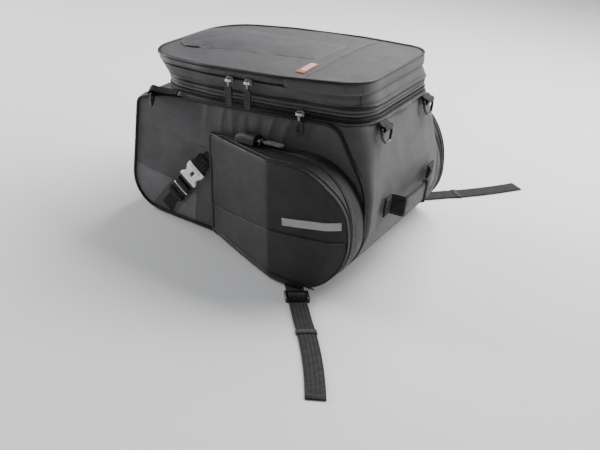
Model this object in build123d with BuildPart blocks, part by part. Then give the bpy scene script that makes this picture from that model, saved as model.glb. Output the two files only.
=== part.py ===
from build123d import *
import os
from math import cos, radians, sin, tan

# Motorcycle tail bag with a zipped lid, an expansion zip and two side pockets.
# +X is the front of the motorcycle, +Y its left side and +Z up. The base mat lies on Z = 0 and
# the origin is under the middle of the bag's box. The lid is tilted: it rises towards the front.
# "right" pieces are on the -Y side, and "left" pieces are their mirror images.

os.makedirs("parts", exist_ok=True)

# ---------------------------------------------------------------- driving dimensions (mm)

TILT = 7.0                      # slope of the lid against the base, degrees
LID_ORIGIN = Vector(58, 0, 268)  # on the lid's piping plane, at the cross seam of the lid
HALF_WIDTH = 116.0              # side panels' outer faces
SKIN = 4.0                      # laminated panel thickness
MAT = 2.5                       # anti-slip mat thickness
CLEAR = 0.4                     # gap between pieces of different bodies

SEAM_W = -54.0                  # body top seam, below the lid's piping plane
ZIP_TOP_W = -45.5               # top of the expansion zip
BAND_W = -31.0                  # bottom of the collar band
COLLAR_TOP_W = -12.6            # top of the collar band
MAIN_ZIP_W = -11.0              # split line of the main zip
LID_BOTTOM_W = -9.4             # bottom of the lid shell
LID_TOP_W = 1.5                 # top face of the lid shell

WEBBING = 25.0                  # width of the straps
WEB_THICK = 2.0                 # thickness of a sewn strap

# Plan outlines in the lid's plane: (forward, sideways) corners and their radii.
LID_PLAN = [(86, 106), (-30, 125), (-150, 125), (-264, 104)]
LID_RADII = [40, 150, 120, 66]
NECK_PLAN = [(93, 108), (-30, 112), (-150, 112), (-254, 98)]
NECK_RADII = [42, 150, 120, 66]
COLLAR_PLAN = [(84, 104), (-30, 123), (-150, 123), (-262, 102)]

# Frame of the lid: x forward along the lid, y to the left, z out of the lid.
FORWARD = Vector(cos(radians(TILT)), 0, sin(radians(TILT)))
OUT = Vector(-sin(radians(TILT)), 0, cos(radians(TILT)))
LEFT = Vector(0, 1, 0)


def lid_point(u, v, w):
    """World position of a point given in the lid's frame."""
    return LID_ORIGIN + FORWARD * u + LEFT * v + OUT * w


def lid_level(w):
    """Plane parallel to the lid at height w above its piping."""
    return Plane(origin=lid_point(0, 0, w), x_dir=FORWARD, z_dir=OUT)


def right_side(y):
    """Upright plane facing the right side, in the lid's directions."""
    return Plane(origin=lid_point(0, y, 0), x_dir=FORWARD, z_dir=-LEFT)


def upright(y):
    """Upright plane facing the right side, in world directions."""
    return Plane(origin=(0, y, 0), x_dir=(1, 0, 0), z_dir=(0, -1, 0))


def save(piece, label):
    """Label a finished piece and write its STEP file."""
    piece.part.label = label
    export_step(piece.part, f"parts/{label}.step")


def save_pair(piece, label):
    """Write a right-hand piece and its mirrored left-hand twin."""
    save(piece, f"{label}_right")
    with BuildPart() as twin:
        mirror(piece.part, about=Plane.XZ)
    save(twin, f"{label}_left")


def closed_outline(corners, radii, inset=0.0):
    """Face with a closed outline of rounded corners, shrunk by inset."""
    with BuildSketch() as face:
        with BuildLine():
            FilletPolyline(*corners, radius=radii, close=True)
        make_face()
        if inset:
            offset(amount=-inset)
    return face.sketch


def plan_outline(plan, radii, inset=0.0):
    """Face that is the same on both sides of the centre line."""
    right = [(u, -v) for u, v in plan]
    left = list(reversed(plan))
    return closed_outline(right + left, radii + list(reversed(radii)), inset)


def ring(low, high, plan, radii, inset, wall, top_plan=None, top_inset=None):
    """Wall that follows a plan outline between two heights of the lid's frame."""
    last_plan = top_plan or plan
    last_inset = inset if top_inset is None else top_inset
    with BuildPart() as band:
        with BuildSketch(lid_level(low)):
            add(plan_outline(plan, radii, inset))
        with BuildSketch(lid_level(high)):
            add(plan_outline(last_plan, radii, last_inset))
        loft(ruled=True)
        with BuildSketch(lid_level(low)):
            add(plan_outline(plan, radii, inset + wall))
        with BuildSketch(lid_level(high)):
            add(plan_outline(last_plan, radii, last_inset + wall))
        loft(ruled=True, mode=Mode.SUBTRACT)
    return band


# ---------------------------------------------------------------- body: panels of the main bag

top_front = lid_point(94, 0, SEAM_W)
top_rear = lid_point(-256, 0, SEAM_W)

# Centre profile of the bag, seen from the right side: (x, z) corners and radii.
PROFILE = [
    (147, MAT),
    (186, 72),
    (182, 132),
    (top_front.X, top_front.Z),
    (top_rear.X, top_rear.Z),
    (-207, 173),
    (-211, MAT),
]
PROFILE_RADII = [14, 80, 80, 0, 0, 14, 50]

# The front corners are tight below and open up towards the neck: (z, front x, corner radius).
CORNERS = [
    (-1, 150, 5),
    (72, 187.5, 5),
    (100, 187.5, 6),
    (132, 184.0, 9),
    (165, 175.5, 17),
    (197, 168.0, 26),
    (245, 156.0, 52),
]


def corner_form(inset):
    """Upright block that rounds the bag's front corners, shrunk by inset."""
    half = HALF_WIDTH - inset
    with BuildPart() as form:
        for height, front, radius in CORNERS:
            corner = max(radius - inset, 1.5)
            reach = front - inset
            plan = [(-240, -half), (reach, -half), (reach, half), (-240, half)]
            with BuildSketch(Plane.XY.offset(height)):
                add(closed_outline(plan, [0, corner, corner, 0]))
        loft(ruled=True)
    return form


def body_block(inset):
    """Outer form of the bag, shrunk by inset on every side."""
    with BuildPart() as block:
        with BuildSketch(Plane.XZ):
            add(closed_outline(PROFILE, PROFILE_RADII, inset))
        extrude(amount=HALF_WIDTH - inset, both=True)
        add(corner_form(inset).part, mode=Mode.INTERSECT)
    return block


body_outer = body_block(0)
body_inner = body_block(SKIN)

with BuildPart() as shell:
    add(body_outer.part)
    add(body_inner.part, mode=Mode.SUBTRACT)
    with BuildSketch(lid_level(SEAM_W - 12)):
        add(plan_outline(NECK_PLAN, NECK_RADII, 5))
    extrude(amount=30, mode=Mode.SUBTRACT)

with BuildPart() as wrap_panel:
    add(shell.part)
    split(bisect_by=Plane.XZ.offset(HALF_WIDTH - SKIN), keep=Keep.BOTTOM)
    split(bisect_by=Plane.XZ.offset(SKIN - HALF_WIDTH), keep=Keep.TOP)
save(wrap_panel, "wrap_panel")

with BuildPart() as side_panel:
    add(shell.part)
    split(bisect_by=Plane.XZ.offset(HALF_WIDTH - SKIN), keep=Keep.TOP)
save_pair(side_panel, "side_panel")

# Piping along the edge of the side panel: the panel's own D shape.
D_EDGE = [
    (144, MAT + 1.5),
    (180, 72),
    (173, 142),
    (118, 221),
    (-166, 185.5),
    (-205, 171),
    (-209, MAT + 1.5),
]
D_RADII = [18, 70, 90, 30, 60, 16, 48]
PIPING_R = 2.0


def piping_cord(radius):
    """Closed cord along the edge of the right side panel."""
    with BuildPart() as cord:
        with BuildLine(upright(-HALF_WIDTH - PIPING_R - 0.1)) as path:
            FilletPolyline(*D_EDGE, radius=D_RADII, close=True)
        with BuildSketch(Plane(origin=path.line @ 0, z_dir=path.line % 0)):
            Circle(radius)
        sweep()
    return cord


save_pair(piping_cord(PIPING_R), "edge_piping")

MAT_LENGTH = 300.0
MAT_WIDTH = 216.0
MAT_CENTRE_X = -8.0
with BuildPart() as base_mat:
    with BuildSketch():
        with Locations((MAT_CENTRE_X, 0)):
            RectangleRounded(MAT_LENGTH, MAT_WIDTH, 12)
    extrude(amount=MAT)
save(base_mat, "base_mat")

BOARD_THICK = 2.5
BOARD_LENGTH = 268.0
BOARD_WIDTH = 200.0
BOARD_CENTRE_X = -10.0
with BuildPart() as base_board:
    with BuildSketch(Plane.XY.offset(MAT + SKIN + CLEAR)):
        with Locations((BOARD_CENTRE_X, 0)):
            RectangleRounded(BOARD_LENGTH, BOARD_WIDTH, 14)
    extrude(amount=BOARD_THICK)
save(base_board, "base_board")

# Foam sheets stand just inside the side panels.
FOAM = 4.0
FOAM_INSET = 22.0               # from the side panel's edge
with BuildPart() as side_foams:
    with BuildSketch(upright(-(HALF_WIDTH - SKIN - CLEAR - FOAM))):
        add(closed_outline(D_EDGE, D_RADII, FOAM_INSET))
    extrude(amount=FOAM)
    mirror(about=Plane.XZ)
save(side_foams, "side_foams")

LINER = 1.0
LINER_GAP = SKIN + FOAM + 2 * CLEAR
with BuildPart() as liner:
    add(body_block(LINER_GAP).part)
    add(body_block(LINER_GAP + LINER).part, mode=Mode.SUBTRACT)
    with BuildSketch(lid_level(SEAM_W - 22)):
        add(plan_outline(NECK_PLAN, NECK_RADII, 12))
    extrude(amount=30, mode=Mode.SUBTRACT)
save(liner, "liner")

# ---------------------------------------------------------------- neck: expansion and collar

save(ring(SEAM_W, ZIP_TOP_W, NECK_PLAN, NECK_RADII, 0, 4), "expansion_zip")
save(ring(ZIP_TOP_W + CLEAR, BAND_W - CLEAR, NECK_PLAN, NECK_RADII, 4, 4), "expansion_gusset")
save(
    ring(BAND_W, COLLAR_TOP_W, NECK_PLAN, NECK_RADII, 0, 4, COLLAR_PLAN, 0),
    "collar_band",
)
save(ring(COLLAR_TOP_W, MAIN_ZIP_W - CLEAR / 2, COLLAR_PLAN, LID_RADII, 0, 5), "main_zip_lower")
save(ring(MAIN_ZIP_W + CLEAR / 2, LID_BOTTOM_W, COLLAR_PLAN, LID_RADII, 0, 5), "main_zip_upper")

# ---------------------------------------------------------------- lid

LID_WALL = 3.5
LID_ROOF = 3.0
with BuildPart() as lid_shell:
    with BuildSketch(lid_level(LID_BOTTOM_W)):
        add(plan_outline(LID_PLAN, LID_RADII))
    extrude(amount=LID_TOP_W - LID_BOTTOM_W)
    with BuildSketch(lid_level(LID_BOTTOM_W)):
        add(plan_outline(LID_PLAN, LID_RADII, LID_WALL))
    extrude(amount=LID_TOP_W - LID_BOTTOM_W - LID_ROOF, mode=Mode.SUBTRACT)
save(lid_shell, "lid_shell")

LID_BOARD_INSET = 9.0
with BuildPart() as lid_board:
    with BuildSketch(lid_level(LID_TOP_W - LID_ROOF - CLEAR - BOARD_THICK)):
        add(plan_outline(LID_PLAN, LID_RADII, LID_BOARD_INSET))
    extrude(amount=BOARD_THICK)
save(lid_board, "lid_board")

# Raised centre pad: wide at the rear, narrower at the cross seam.
PAD_PLAN = [(-12, 46), (-90, 56), (-256, 66)]
PAD_THICK = 6.0
with BuildPart() as lid_pad:
    with BuildSketch(lid_level(LID_TOP_W)):
        add(plan_outline(PAD_PLAN, [4, 60, 40]))
    extrude(amount=PAD_THICK)
    fillet(lid_pad.faces().sort_by(Axis.Z)[-1].edges(), 2.5)
save(lid_pad, "lid_pad")

# The lid's piping runs just outside the shell: its front and rear corners move out both ways.
LID_PIPING_R = 1.8
PIPING_OUT = 2.1
PIPING_W = 0.6
piping_plan = []
for u, v in LID_PLAN:
    ahead = 1 if u > 0 else -1 if u < -200 else 0
    piping_plan.append((u + ahead * PIPING_OUT, v + PIPING_OUT))
with BuildPart() as lid_piping:
    with BuildLine(lid_level(PIPING_W)) as lid_edge:
        FilletPolyline(
            *[(u, -v) for u, v in piping_plan],
            *reversed(piping_plan),
            radius=LID_RADII + list(reversed(LID_RADII)),
            close=True,
        )
    with BuildSketch(Plane(origin=lid_edge.line @ 0, z_dir=lid_edge.line % 0)):
        Circle(LID_PIPING_R)
    sweep()
save(lid_piping, "lid_piping")

TAG_SPOT = (-10, -82)
TAG_SIZE = (14, 40)
TAG_THICK = 1.0
with BuildPart() as lid_tag:
    with BuildSketch(lid_level(LID_TOP_W)):
        with Locations(TAG_SPOT):
            RectangleRounded(*TAG_SIZE, 1)
    extrude(amount=TAG_THICK)
save(lid_tag, "lid_tag")

# ---------------------------------------------------------------- zip sliders and pulls

SLIDER_LENGTH = 12.0
SLIDER_WIDTH = 10.0
SLIDER_THICK = 4.0
EAR_SPOT = 3.6                  # ears' distance from the middle
EAR_HEIGHT = 4.4
PIN_R = 1.0
PIN_LIFT = 6.8                  # pin axis above the slider's back
EYE_R = 2.4                     # eye of the pull round the pin
PULL_THICK = 2.8


def slider(plane):
    """Zip slider: body with two ears and a pin along the plane's x direction."""
    with BuildPart() as body:
        with BuildSketch(plane):
            RectangleRounded(SLIDER_LENGTH, SLIDER_WIDTH, 3)
        extrude(amount=SLIDER_THICK)
        with BuildSketch(plane.offset(SLIDER_THICK)):
            with Locations((-EAR_SPOT, 0), (EAR_SPOT, 0)):
                Rectangle(1.6, 5)
        extrude(amount=EAR_HEIGHT)
        pin_start = plane.origin + plane.z_dir * PIN_LIFT - plane.x_dir * 4.4
        with BuildSketch(Plane(origin=pin_start, x_dir=plane.y_dir, z_dir=plane.x_dir)):
            Circle(PIN_R)
        extrude(amount=8.8)
    return body


def pull(pivot, length, width, slot=0.0):
    """Pull tab: eye round the pin at the plane's origin, tab along -y."""
    with BuildPart() as tab:
        with BuildSketch(pivot.offset(-PULL_THICK / 2)):
            with Locations((0, -5)):
                Rectangle(4.6, 10)
            with Locations((0, -8 - (length - 8) / 2)):
                RectangleRounded(width, length - 8, min(width, length - 8) * 0.45)
            if slot:
                with Locations((0, -10 - (length - 14) / 2)):
                    RectangleRounded(slot, length - 14, slot * 0.45, mode=Mode.SUBTRACT)
        extrude(amount=PULL_THICK)
        across = Plane(origin=pivot.origin - pivot.x_dir * 2.3, x_dir=pivot.y_dir, z_dir=pivot.x_dir)
        with BuildSketch(across):
            Circle(EYE_R)
        extrude(amount=4.6)
        with BuildSketch(across.offset(-3)):
            Circle(PIN_R + 0.35)
        extrude(amount=12, mode=Mode.SUBTRACT)
    return tab


MAIN_SLIDER_U = [-103.0, -73.0]
SLIDER_BACK_Y = -(125 + CLEAR + 0.2)
for number, place in enumerate(MAIN_SLIDER_U, start=1):
    seat = Plane(origin=lid_point(place, SLIDER_BACK_Y, -12.6), x_dir=FORWARD, z_dir=-LEFT)
    save(slider(seat), f"main_slider_{number}")
    hang = Plane(origin=seat.origin - LEFT * PIN_LIFT, x_dir=FORWARD, z_dir=-LEFT)
    save(pull(hang, 36, 11), f"main_pull_{number}")

# The neck narrows in front of its full width, so the expansion slider runs at a slight angle.
EXP_SLIDER_W = -46.4
(front_u, front_v), (wide_u, wide_v) = NECK_PLAN[:2]
NECK_SLOPE = Vector(front_u - wide_u, wide_v - front_v, 0).normalized()
NECK_RUN = FORWARD * NECK_SLOPE.X + LEFT * NECK_SLOPE.Y
NECK_OUT = (FORWARD * NECK_SLOPE.Y - LEFT * NECK_SLOPE.X).normalized()
exp_seat_y = -wide_v - wide_u * NECK_SLOPE.Y / NECK_SLOPE.X
exp_origin = lid_point(0, exp_seat_y, EXP_SLIDER_W) + NECK_OUT * 4.3
exp_seat = Plane(origin=exp_origin, x_dir=NECK_RUN, z_dir=NECK_OUT)
save(slider(exp_seat), "expansion_slider")
exp_hang = Plane(origin=exp_origin + NECK_OUT * PIN_LIFT, x_dir=NECK_RUN, z_dir=NECK_OUT)
save(pull(exp_hang, 28, 12, slot=6), "expansion_pull")

# ---------------------------------------------------------------- side pockets

# D-shaped pocket face in the lid's directions: (forward, up) corners and radii.
POCKET_TOP_W = -97.0
POCKET_FACE = [(-145, POCKET_TOP_W), (97, POCKET_TOP_W), (97, -279), (-145, -251)]
POCKET_RADII = [7, 84, 76, 10]
POCKET_WALL = 3.0
SILL = 8.0                      # strip of the pocket below its door
HINGE_U = -146.0
HINGE_V = -(HALF_WIDTH + 4.5)
RIDGE = (-17, -178)             # where the slanted rear face meets the front face
SPLIT_END_V = -150.0            # zip line at the front end of the pocket
PANEL_V = -(HALF_WIDTH + 0.3)   # back of the pocket on the side panel

# Plan of the pocket's wedge: from the hinge edge out to the ridge and forward.
WEDGE_PLAN = [(-146, HINGE_V - 1), RIDGE, (70, -176), (99, -164)]
WEDGE_RADII = [0, 0, 6, 10, 10, 0]


def pocket_wedge(inset, back):
    """Upright prism with the pocket's wedge plan, up to the sideways position back."""
    plan = [(-146, back)] + WEDGE_PLAN + [(99, back)]
    with BuildPart() as wedge:
        with BuildSketch(lid_level(-320)):
            add(closed_outline(plan, WEDGE_RADII, inset))
        extrude(amount=300)
    return wedge


def pocket_block(inset, back=PANEL_V):
    """Wedge-shaped pocket volume with its D-shaped face."""
    with BuildPart() as block:
        with BuildSketch(right_side(back)):
            add(closed_outline(POCKET_FACE, POCKET_RADII, inset))
        extrude(amount=80)
        add(pocket_wedge(inset, back).part, mode=Mode.INTERSECT)
    return block


def split_v(u, gap):
    """Sideways position of the pocket's zip line at u, moved outwards by gap."""
    return HINGE_V + (SPLIT_END_V - HINGE_V) * (u - HINGE_U) / (100 - HINGE_U) - gap


def split_prism(gap, far):
    """Upright prism between the pocket's zip line and the sideways position far."""
    corners = [(-160, split_v(-160, gap)), (110, split_v(110, gap)), (110, far), (-160, far)]
    with BuildPart() as prism:
        with BuildSketch(lid_level(-320)):
            add(closed_outline(corners, [0, 0, 0, 0]))
        extrude(amount=300)
    return prism


def sill_prism(height):
    """Region under the door: the pocket's lower edge, up to a height above it."""
    (low_front_u, low_front_w), (low_rear_u, low_rear_w) = POCKET_FACE[2:]
    slope = (low_front_w - low_rear_w) / (low_front_u - low_rear_u)
    top = [(u, low_rear_w + (u - low_rear_u) * slope + height) for u in (-160, 110)]
    with BuildPart() as prism:
        with BuildSketch(right_side(PANEL_V + 5)):
            add(closed_outline(top + [(110, -330), (-160, -330)], [0, 0, 0, 0]))
        extrude(amount=90)
    return prism


def pocket_half(outer_half):
    """Part of the hollow pocket outside or inside its zip line. The inner part has the sill."""
    gap = CLEAR if outer_half else -CLEAR
    far = -200 if outer_half else PANEL_V + 5
    with BuildPart() as region:
        add(split_prism(gap, far).part)
        if outer_half:
            add(sill_prism(SILL + CLEAR).part, mode=Mode.SUBTRACT)
        else:
            add(sill_prism(SILL - CLEAR).part)
    with BuildPart() as half:
        add(pocket_block(0).part)
        add(pocket_block(POCKET_WALL, PANEL_V + 6).part, mode=Mode.SUBTRACT)
        add(region.part, mode=Mode.INTERSECT)
        if not outer_half:
            add(piping_cord(PIPING_R + CLEAR).part, mode=Mode.SUBTRACT)
    return half


pocket_gusset = pocket_half(outer_half=False)
save_pair(pocket_gusset, "pocket_gusset")
pocket_door = pocket_half(outer_half=True)
save_pair(pocket_door, "pocket_door")

# Reflective strip on the front face, rising a little towards the front.
STRIP_OUTLINE = [(6, -171), (86, -163.5), (86, -175), (6, -182)]
STRIP_THICK = 0.8
with BuildPart() as reflective_strip:
    with BuildSketch(right_side(RIDGE[1])):
        with BuildLine():
            Polyline(*STRIP_OUTLINE, close=True)
        make_face()
    extrude(amount=STRIP_THICK)
    add(pocket_block(0).part, mode=Mode.SUBTRACT)
save_pair(reflective_strip, "reflective_strip")

# The zip runs over the pocket's top, slider on the line between gusset and door.
ZIP_RUN = (FORWARD * (100 - HINGE_U) + LEFT * (SPLIT_END_V - HINGE_V)).normalized()
ZIP_ACROSS = OUT.cross(ZIP_RUN).normalized()
POCKET_SLIDER_U = -55.0
pocket_seat = Plane(
    origin=lid_point(POCKET_SLIDER_U, split_v(POCKET_SLIDER_U, 0), POCKET_TOP_W + CLEAR + 0.3),
    x_dir=ZIP_ACROSS,
    z_dir=OUT,
)
save_pair(slider(pocket_seat), "pocket_slider")
pocket_pivot = Plane(origin=pocket_seat.origin + OUT * PIN_LIFT, x_dir=ZIP_ACROSS, z_dir=OUT)
save_pair(pull(pocket_pivot, 40, 9), "pocket_pull")

# Garage: a fabric arch over the slider, sewn to the gusset on its inner side.
GARAGE_SPAN = 30.0
GARAGE_U = -88.0
with BuildPart() as zip_garage:
    arch_plane = Plane(
        origin=lid_point(GARAGE_U, split_v(GARAGE_U, 0), POCKET_TOP_W),
        x_dir=ZIP_ACROSS,
        z_dir=ZIP_RUN,
    )
    with BuildSketch(arch_plane):
        with BuildLine():
            FilletPolyline((9.0, 1.6), (8.0, 13), (-8.4, 13), (-9.4, 3.2), radius=[5, 5])
            offset(amount=0.8, side=Side.BOTH)
        make_face()
    extrude(amount=GARAGE_SPAN)
save_pair(zip_garage, "zip_garage")

# ---------------------------------------------------------------- D-rings and their tabs

RING_BAR = 4.0
RING_OUTSIDE = [(-16.5, 2), (16.5, 2), (16.5, -8), (8, -22), (-8, -22), (-16.5, -8)]
RING_INSIDE = [(-12.5, -2), (12.5, -2), (12.5, -8), (6, -18), (-6, -18), (-12.5, -8)]
TAB_R = 5.4
TAB_HOLE_R = 3.2
TAB_WIDTH = 23.0
TAB_PLY = 2.6


def dring(plane):
    """D-ring with its bar along the plane's x direction, hanging along -y."""
    with BuildPart() as part:
        with BuildSketch(plane.offset(-RING_BAR / 2)):
            add(closed_outline(RING_OUTSIDE, [3, 3, 8, 8, 8, 8]))
            add(closed_outline(RING_INSIDE, [1, 1, 5, 5, 5, 5]), mode=Mode.SUBTRACT)
        extrude(amount=RING_BAR)
    return part


def dring_tab(plane, direction, length):
    """Webbing loop round the ring's bar, with a tail in the given local (z, y) direction."""
    section = Plane(
        origin=plane.origin - plane.x_dir * TAB_WIDTH / 2,
        x_dir=plane.z_dir,
        z_dir=plane.x_dir,
    )
    reach = section.to_local_coords(plane.origin + direction * length)
    with BuildPart() as part:
        with BuildSketch(section):
            Circle(TAB_R)
            with BuildLine():
                Line((0, 0), (reach.X, reach.Y))
            trace(line_width=TAB_PLY)
            Circle(TAB_HOLE_R, mode=Mode.SUBTRACT)
        extrude(amount=TAB_WIDTH)
    return part


front_slope = (Vector(top_front.X, 0, top_front.Z) - Vector(182, 0, 132)).normalized()
front_out = Vector(front_slope.Z, 0, -front_slope.X)
ring_spot = Vector(182, 0, 132) + front_slope * 88
RING_STAND = 7.4
front_ring_plane = Plane(
    origin=ring_spot + front_out * RING_STAND - LEFT * 70,
    x_dir=LEFT,
    z_dir=front_out,
)
save_pair(dring(front_ring_plane), "dring_front")

rear_out = Vector(-cos(radians(30)), -sin(radians(30)), 0)
rear_along = Vector(sin(radians(30)), -cos(radians(30)), 0)
rear_ring_plane = Plane(
    origin=lid_point(-232, -134.2, -45.6),
    x_dir=rear_along,
    z_dir=rear_out,
)
save_pair(dring(rear_ring_plane), "dring_rear")

front_tab = dring_tab(front_ring_plane, (front_slope * 8 - front_out * 5.5).normalized(), 9.7)
rear_tab = dring_tab(rear_ring_plane, -rear_out, 35)
with BuildPart() as dring_tabs:
    add(front_tab.part)
    add(rear_tab.part)
    mirror(about=Plane.XZ)
save(dring_tabs, "dring_tabs")

# ---------------------------------------------------------------- front grab handle

HANDLE_HEIGHT = 30.0
HANDLE_THICK = 3.0
HANDLE_Z = 98.0
FACE_X = 186.2                  # handle's ends on the bag's front face
HANDLE_REACH = 22.1             # how far the grip stands off that face
with BuildPart() as grab_handle:
    with BuildSketch(Plane.XY.offset(HANDLE_Z)):
        with BuildLine():
            FilletPolyline(
                (FACE_X, -84),
                (FACE_X, -66),
                (FACE_X + HANDLE_REACH, -63),
                (FACE_X + HANDLE_REACH, 12),
                (FACE_X + 15, 46),
                (FACE_X, 60),
                (FACE_X, 80),
                radius=[2, 3, 60, 30, 8],
            )
        trace(line_width=HANDLE_THICK)
    extrude(amount=HANDLE_HEIGHT)
save(grab_handle, "grab_handle")

# ---------------------------------------------------------------- rear mounting straps

# The strap runs down and back over the side panel, from behind the pocket to the base.
STRAP_TOP = Vector(-79, 0, 112)
STRAP_FOOT = Vector(-146, 0, 13)
strap_dir = (STRAP_FOOT - STRAP_TOP).normalized()
STRAP_Y = -(HALF_WIDTH + 0.2)
BUCKLE_START = 22.0             # along the strap, from its top
FEMALE_LENGTH = 30.0
MALE_LENGTH = 20.0
BUCKLE_THICK = 7.0
strap_length = (STRAP_FOOT - STRAP_TOP).length


def strap_plane(along, out=0.0):
    """Plane on the strap: x down along it, z away from the side panel."""
    origin = STRAP_TOP + strap_dir * along + Vector(0, STRAP_Y - out, 0)
    return Plane(origin=origin, x_dir=strap_dir, z_dir=(0, -1, 0))


with BuildPart() as rear_strap_upper:
    with BuildSketch(strap_plane(0)):
        with Locations(((BUCKLE_START - 1.2) / 2, 0)):
            Rectangle(BUCKLE_START - 1.2, WEBBING)
    extrude(amount=WEB_THICK)
save_pair(rear_strap_upper, "rear_strap_upper")

# Female half: open box with waisted sides, a slot in its face and a webbing bar.
with BuildPart() as buckle_female:
    with BuildSketch(strap_plane(BUCKLE_START, 0.3)):
        with BuildLine():
            FilletPolyline(
                (0, -16),
                (9, -16),
                (18, -10.5),
                (26, -16),
                (FEMALE_LENGTH, -16),
                (FEMALE_LENGTH, 16),
                (26, 16),
                (18, 10.5),
                (9, 16),
                (0, 16),
                radius=[1.5, 4, 6, 3, 1.5, 1.5, 3, 6, 4, 1.5],
                close=True,
            )
        make_face()
    extrude(amount=BUCKLE_THICK)
    with BuildSketch(strap_plane(BUCKLE_START + 7, 2.3)):
        with Locations((15, 0)):
            Rectangle(30, 18)
    extrude(amount=3.6, mode=Mode.SUBTRACT)
    with BuildSketch(strap_plane(BUCKLE_START, 2.3)):
        with Locations((14.5, 0)):
            RectangleRounded(9, 5, 2)
    extrude(amount=8, mode=Mode.SUBTRACT)
save_pair(buckle_female, "buckle_female")

MALE_START = BUCKLE_START + FEMALE_LENGTH + 0.6
with BuildPart() as buckle_male:
    with BuildSketch(strap_plane(MALE_START, 0.3)):
        with Locations((MALE_LENGTH / 2, 0)):
            RectangleRounded(MALE_LENGTH, 32, 2)
        with Locations((7, 0), (15, 0)):
            Rectangle(3.6, 26, mode=Mode.SUBTRACT)
    extrude(amount=5)
    with BuildSketch(strap_plane(MALE_START, 2.8)):
        with Locations((-9, -6), (-9, 6)):
            Rectangle(18.4, 4)
    extrude(amount=2.4)
save_pair(buckle_male, "buckle_male")

LOWER_START = MALE_START + MALE_LENGTH + 0.8
with BuildPart() as rear_strap_lower:
    with BuildSketch(strap_plane(LOWER_START)):
        with Locations(((strap_length - LOWER_START) / 2, 0)):
            Rectangle(strap_length - LOWER_START, WEBBING)
    extrude(amount=WEB_THICK)
save_pair(rear_strap_lower, "rear_strap_lower")

# ---------------------------------------------------------------- front mounting straps

# The strap leaves the bag's lower edge at a slant: local y points back to the bag.
STRAP_ACROSS = Vector(0.789, 0.614, 0)
ADJUSTER_SPOT = Vector(130, -195, 0)
ADJUSTER_DEPTH = 24.0
ADJUSTER_THICK = 5.0
STUB_END = 98.0                 # from the adjuster to under the side panel
STUB_THICK = 1.6
strap_ground = Plane(origin=ADJUSTER_SPOT, x_dir=STRAP_ACROSS, z_dir=(0, 0, 1))
stub_start = ADJUSTER_DEPTH / 2 + CLEAR
with BuildPart() as front_strap_stub:
    with BuildSketch(strap_ground):
        with Locations((0, (stub_start + STUB_END) / 2)):
            Rectangle(WEBBING, STUB_END - stub_start)
    extrude(amount=STUB_THICK)
save_pair(front_strap_stub, "front_strap_stub")

with BuildPart() as strap_adjuster:
    with BuildSketch(strap_ground):
        RectangleRounded(33, ADJUSTER_DEPTH, 2.5)
        with Locations((0, -5), (0, 5)):
            Rectangle(26.5, 3.8, mode=Mode.SUBTRACT)
    extrude(amount=ADJUSTER_THICK)
save_pair(strap_adjuster, "strap_adjuster")

# Free tail of doubled webbing, lying flat on the ground away from the bag.
TAIL = [
    (139, -207),
    (149, -219),
    (164, -238),
    (184, -261),
    (204, -287),
    (223, -314),
    (240, -340),
    (253, -362),
]
TAIL_THICK = 3.0
tail_runs = [Vector(*b) - Vector(*a) for a, b in zip(TAIL, TAIL[1:])]
tail_radii = []
for before, after in zip(tail_runs, tail_runs[1:]):
    turn = radians(before.get_angle(after))
    tail_radii.append(0.45 * min(before.length, after.length) / tan(turn / 2))
print("strap tail radii", [round(radius, 1) for radius in tail_radii])

with BuildPart() as front_strap_tail:
    with BuildLine() as tail_path:
        FilletPolyline(*[(x, y, TAIL_THICK / 2) for x, y in TAIL], radius=tail_radii)
    with BuildSketch(Plane(origin=tail_path.line @ 0, x_dir=(0, 0, 1), z_dir=tail_path.line % 0)):
        Rectangle(TAIL_THICK, WEBBING)
    sweep()
tail_length = tail_path.wires()[0].length
tail_volume = tail_length * TAIL_THICK * WEBBING
print("strap tail length", round(tail_length, 1))
print("strap tail volume ratio", round(front_strap_tail.part.volume / tail_volume, 4))
save_pair(front_strap_tail, "front_strap_tail")
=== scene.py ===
import random
from math import acos, cos, exp, pi, radians, sin, tan

import bmesh
import bpy
import numpy as np
from mathutils import Matrix, Vector


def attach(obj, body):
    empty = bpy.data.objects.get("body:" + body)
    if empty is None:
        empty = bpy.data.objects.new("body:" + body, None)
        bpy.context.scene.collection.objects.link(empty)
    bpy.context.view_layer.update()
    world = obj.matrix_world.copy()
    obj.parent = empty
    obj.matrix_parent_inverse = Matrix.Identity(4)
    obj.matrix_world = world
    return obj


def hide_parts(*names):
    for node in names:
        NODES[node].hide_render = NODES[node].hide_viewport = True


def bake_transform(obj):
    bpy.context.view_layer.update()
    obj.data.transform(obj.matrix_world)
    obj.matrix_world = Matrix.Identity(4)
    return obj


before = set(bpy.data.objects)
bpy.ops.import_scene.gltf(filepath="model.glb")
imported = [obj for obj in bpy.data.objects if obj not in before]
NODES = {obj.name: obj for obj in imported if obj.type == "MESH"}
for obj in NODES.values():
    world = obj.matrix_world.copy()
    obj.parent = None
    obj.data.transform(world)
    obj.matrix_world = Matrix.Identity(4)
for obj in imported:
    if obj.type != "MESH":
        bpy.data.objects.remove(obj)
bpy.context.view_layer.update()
MM = 0.001

# ---------------------------------------------------------------- frames and outlines (mm)

TILT = radians(7.0)
FORWARD = np.array([cos(TILT), 0.0, sin(TILT)])
OUT = np.array([-sin(TILT), 0.0, cos(TILT)])
LEFT = np.array([0.0, 1.0, 0.0])
LID_ORIGIN = np.array([58.0, 0.0, 268.0])
HALF_WIDTH = 116.0
MAT = 2.5
SEAM_W = -54.0

LID_PLAN = [(86, 106), (-30, 125), (-150, 125), (-264, 104)]
LID_RADII = [40, 150, 120, 66]
NECK_PLAN = [(93, 108), (-30, 112), (-150, 112), (-254, 98)]
NECK_RADII = [42, 150, 120, 66]
COLLAR_PLAN = [(84, 104), (-30, 123), (-150, 123), (-262, 102)]


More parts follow.
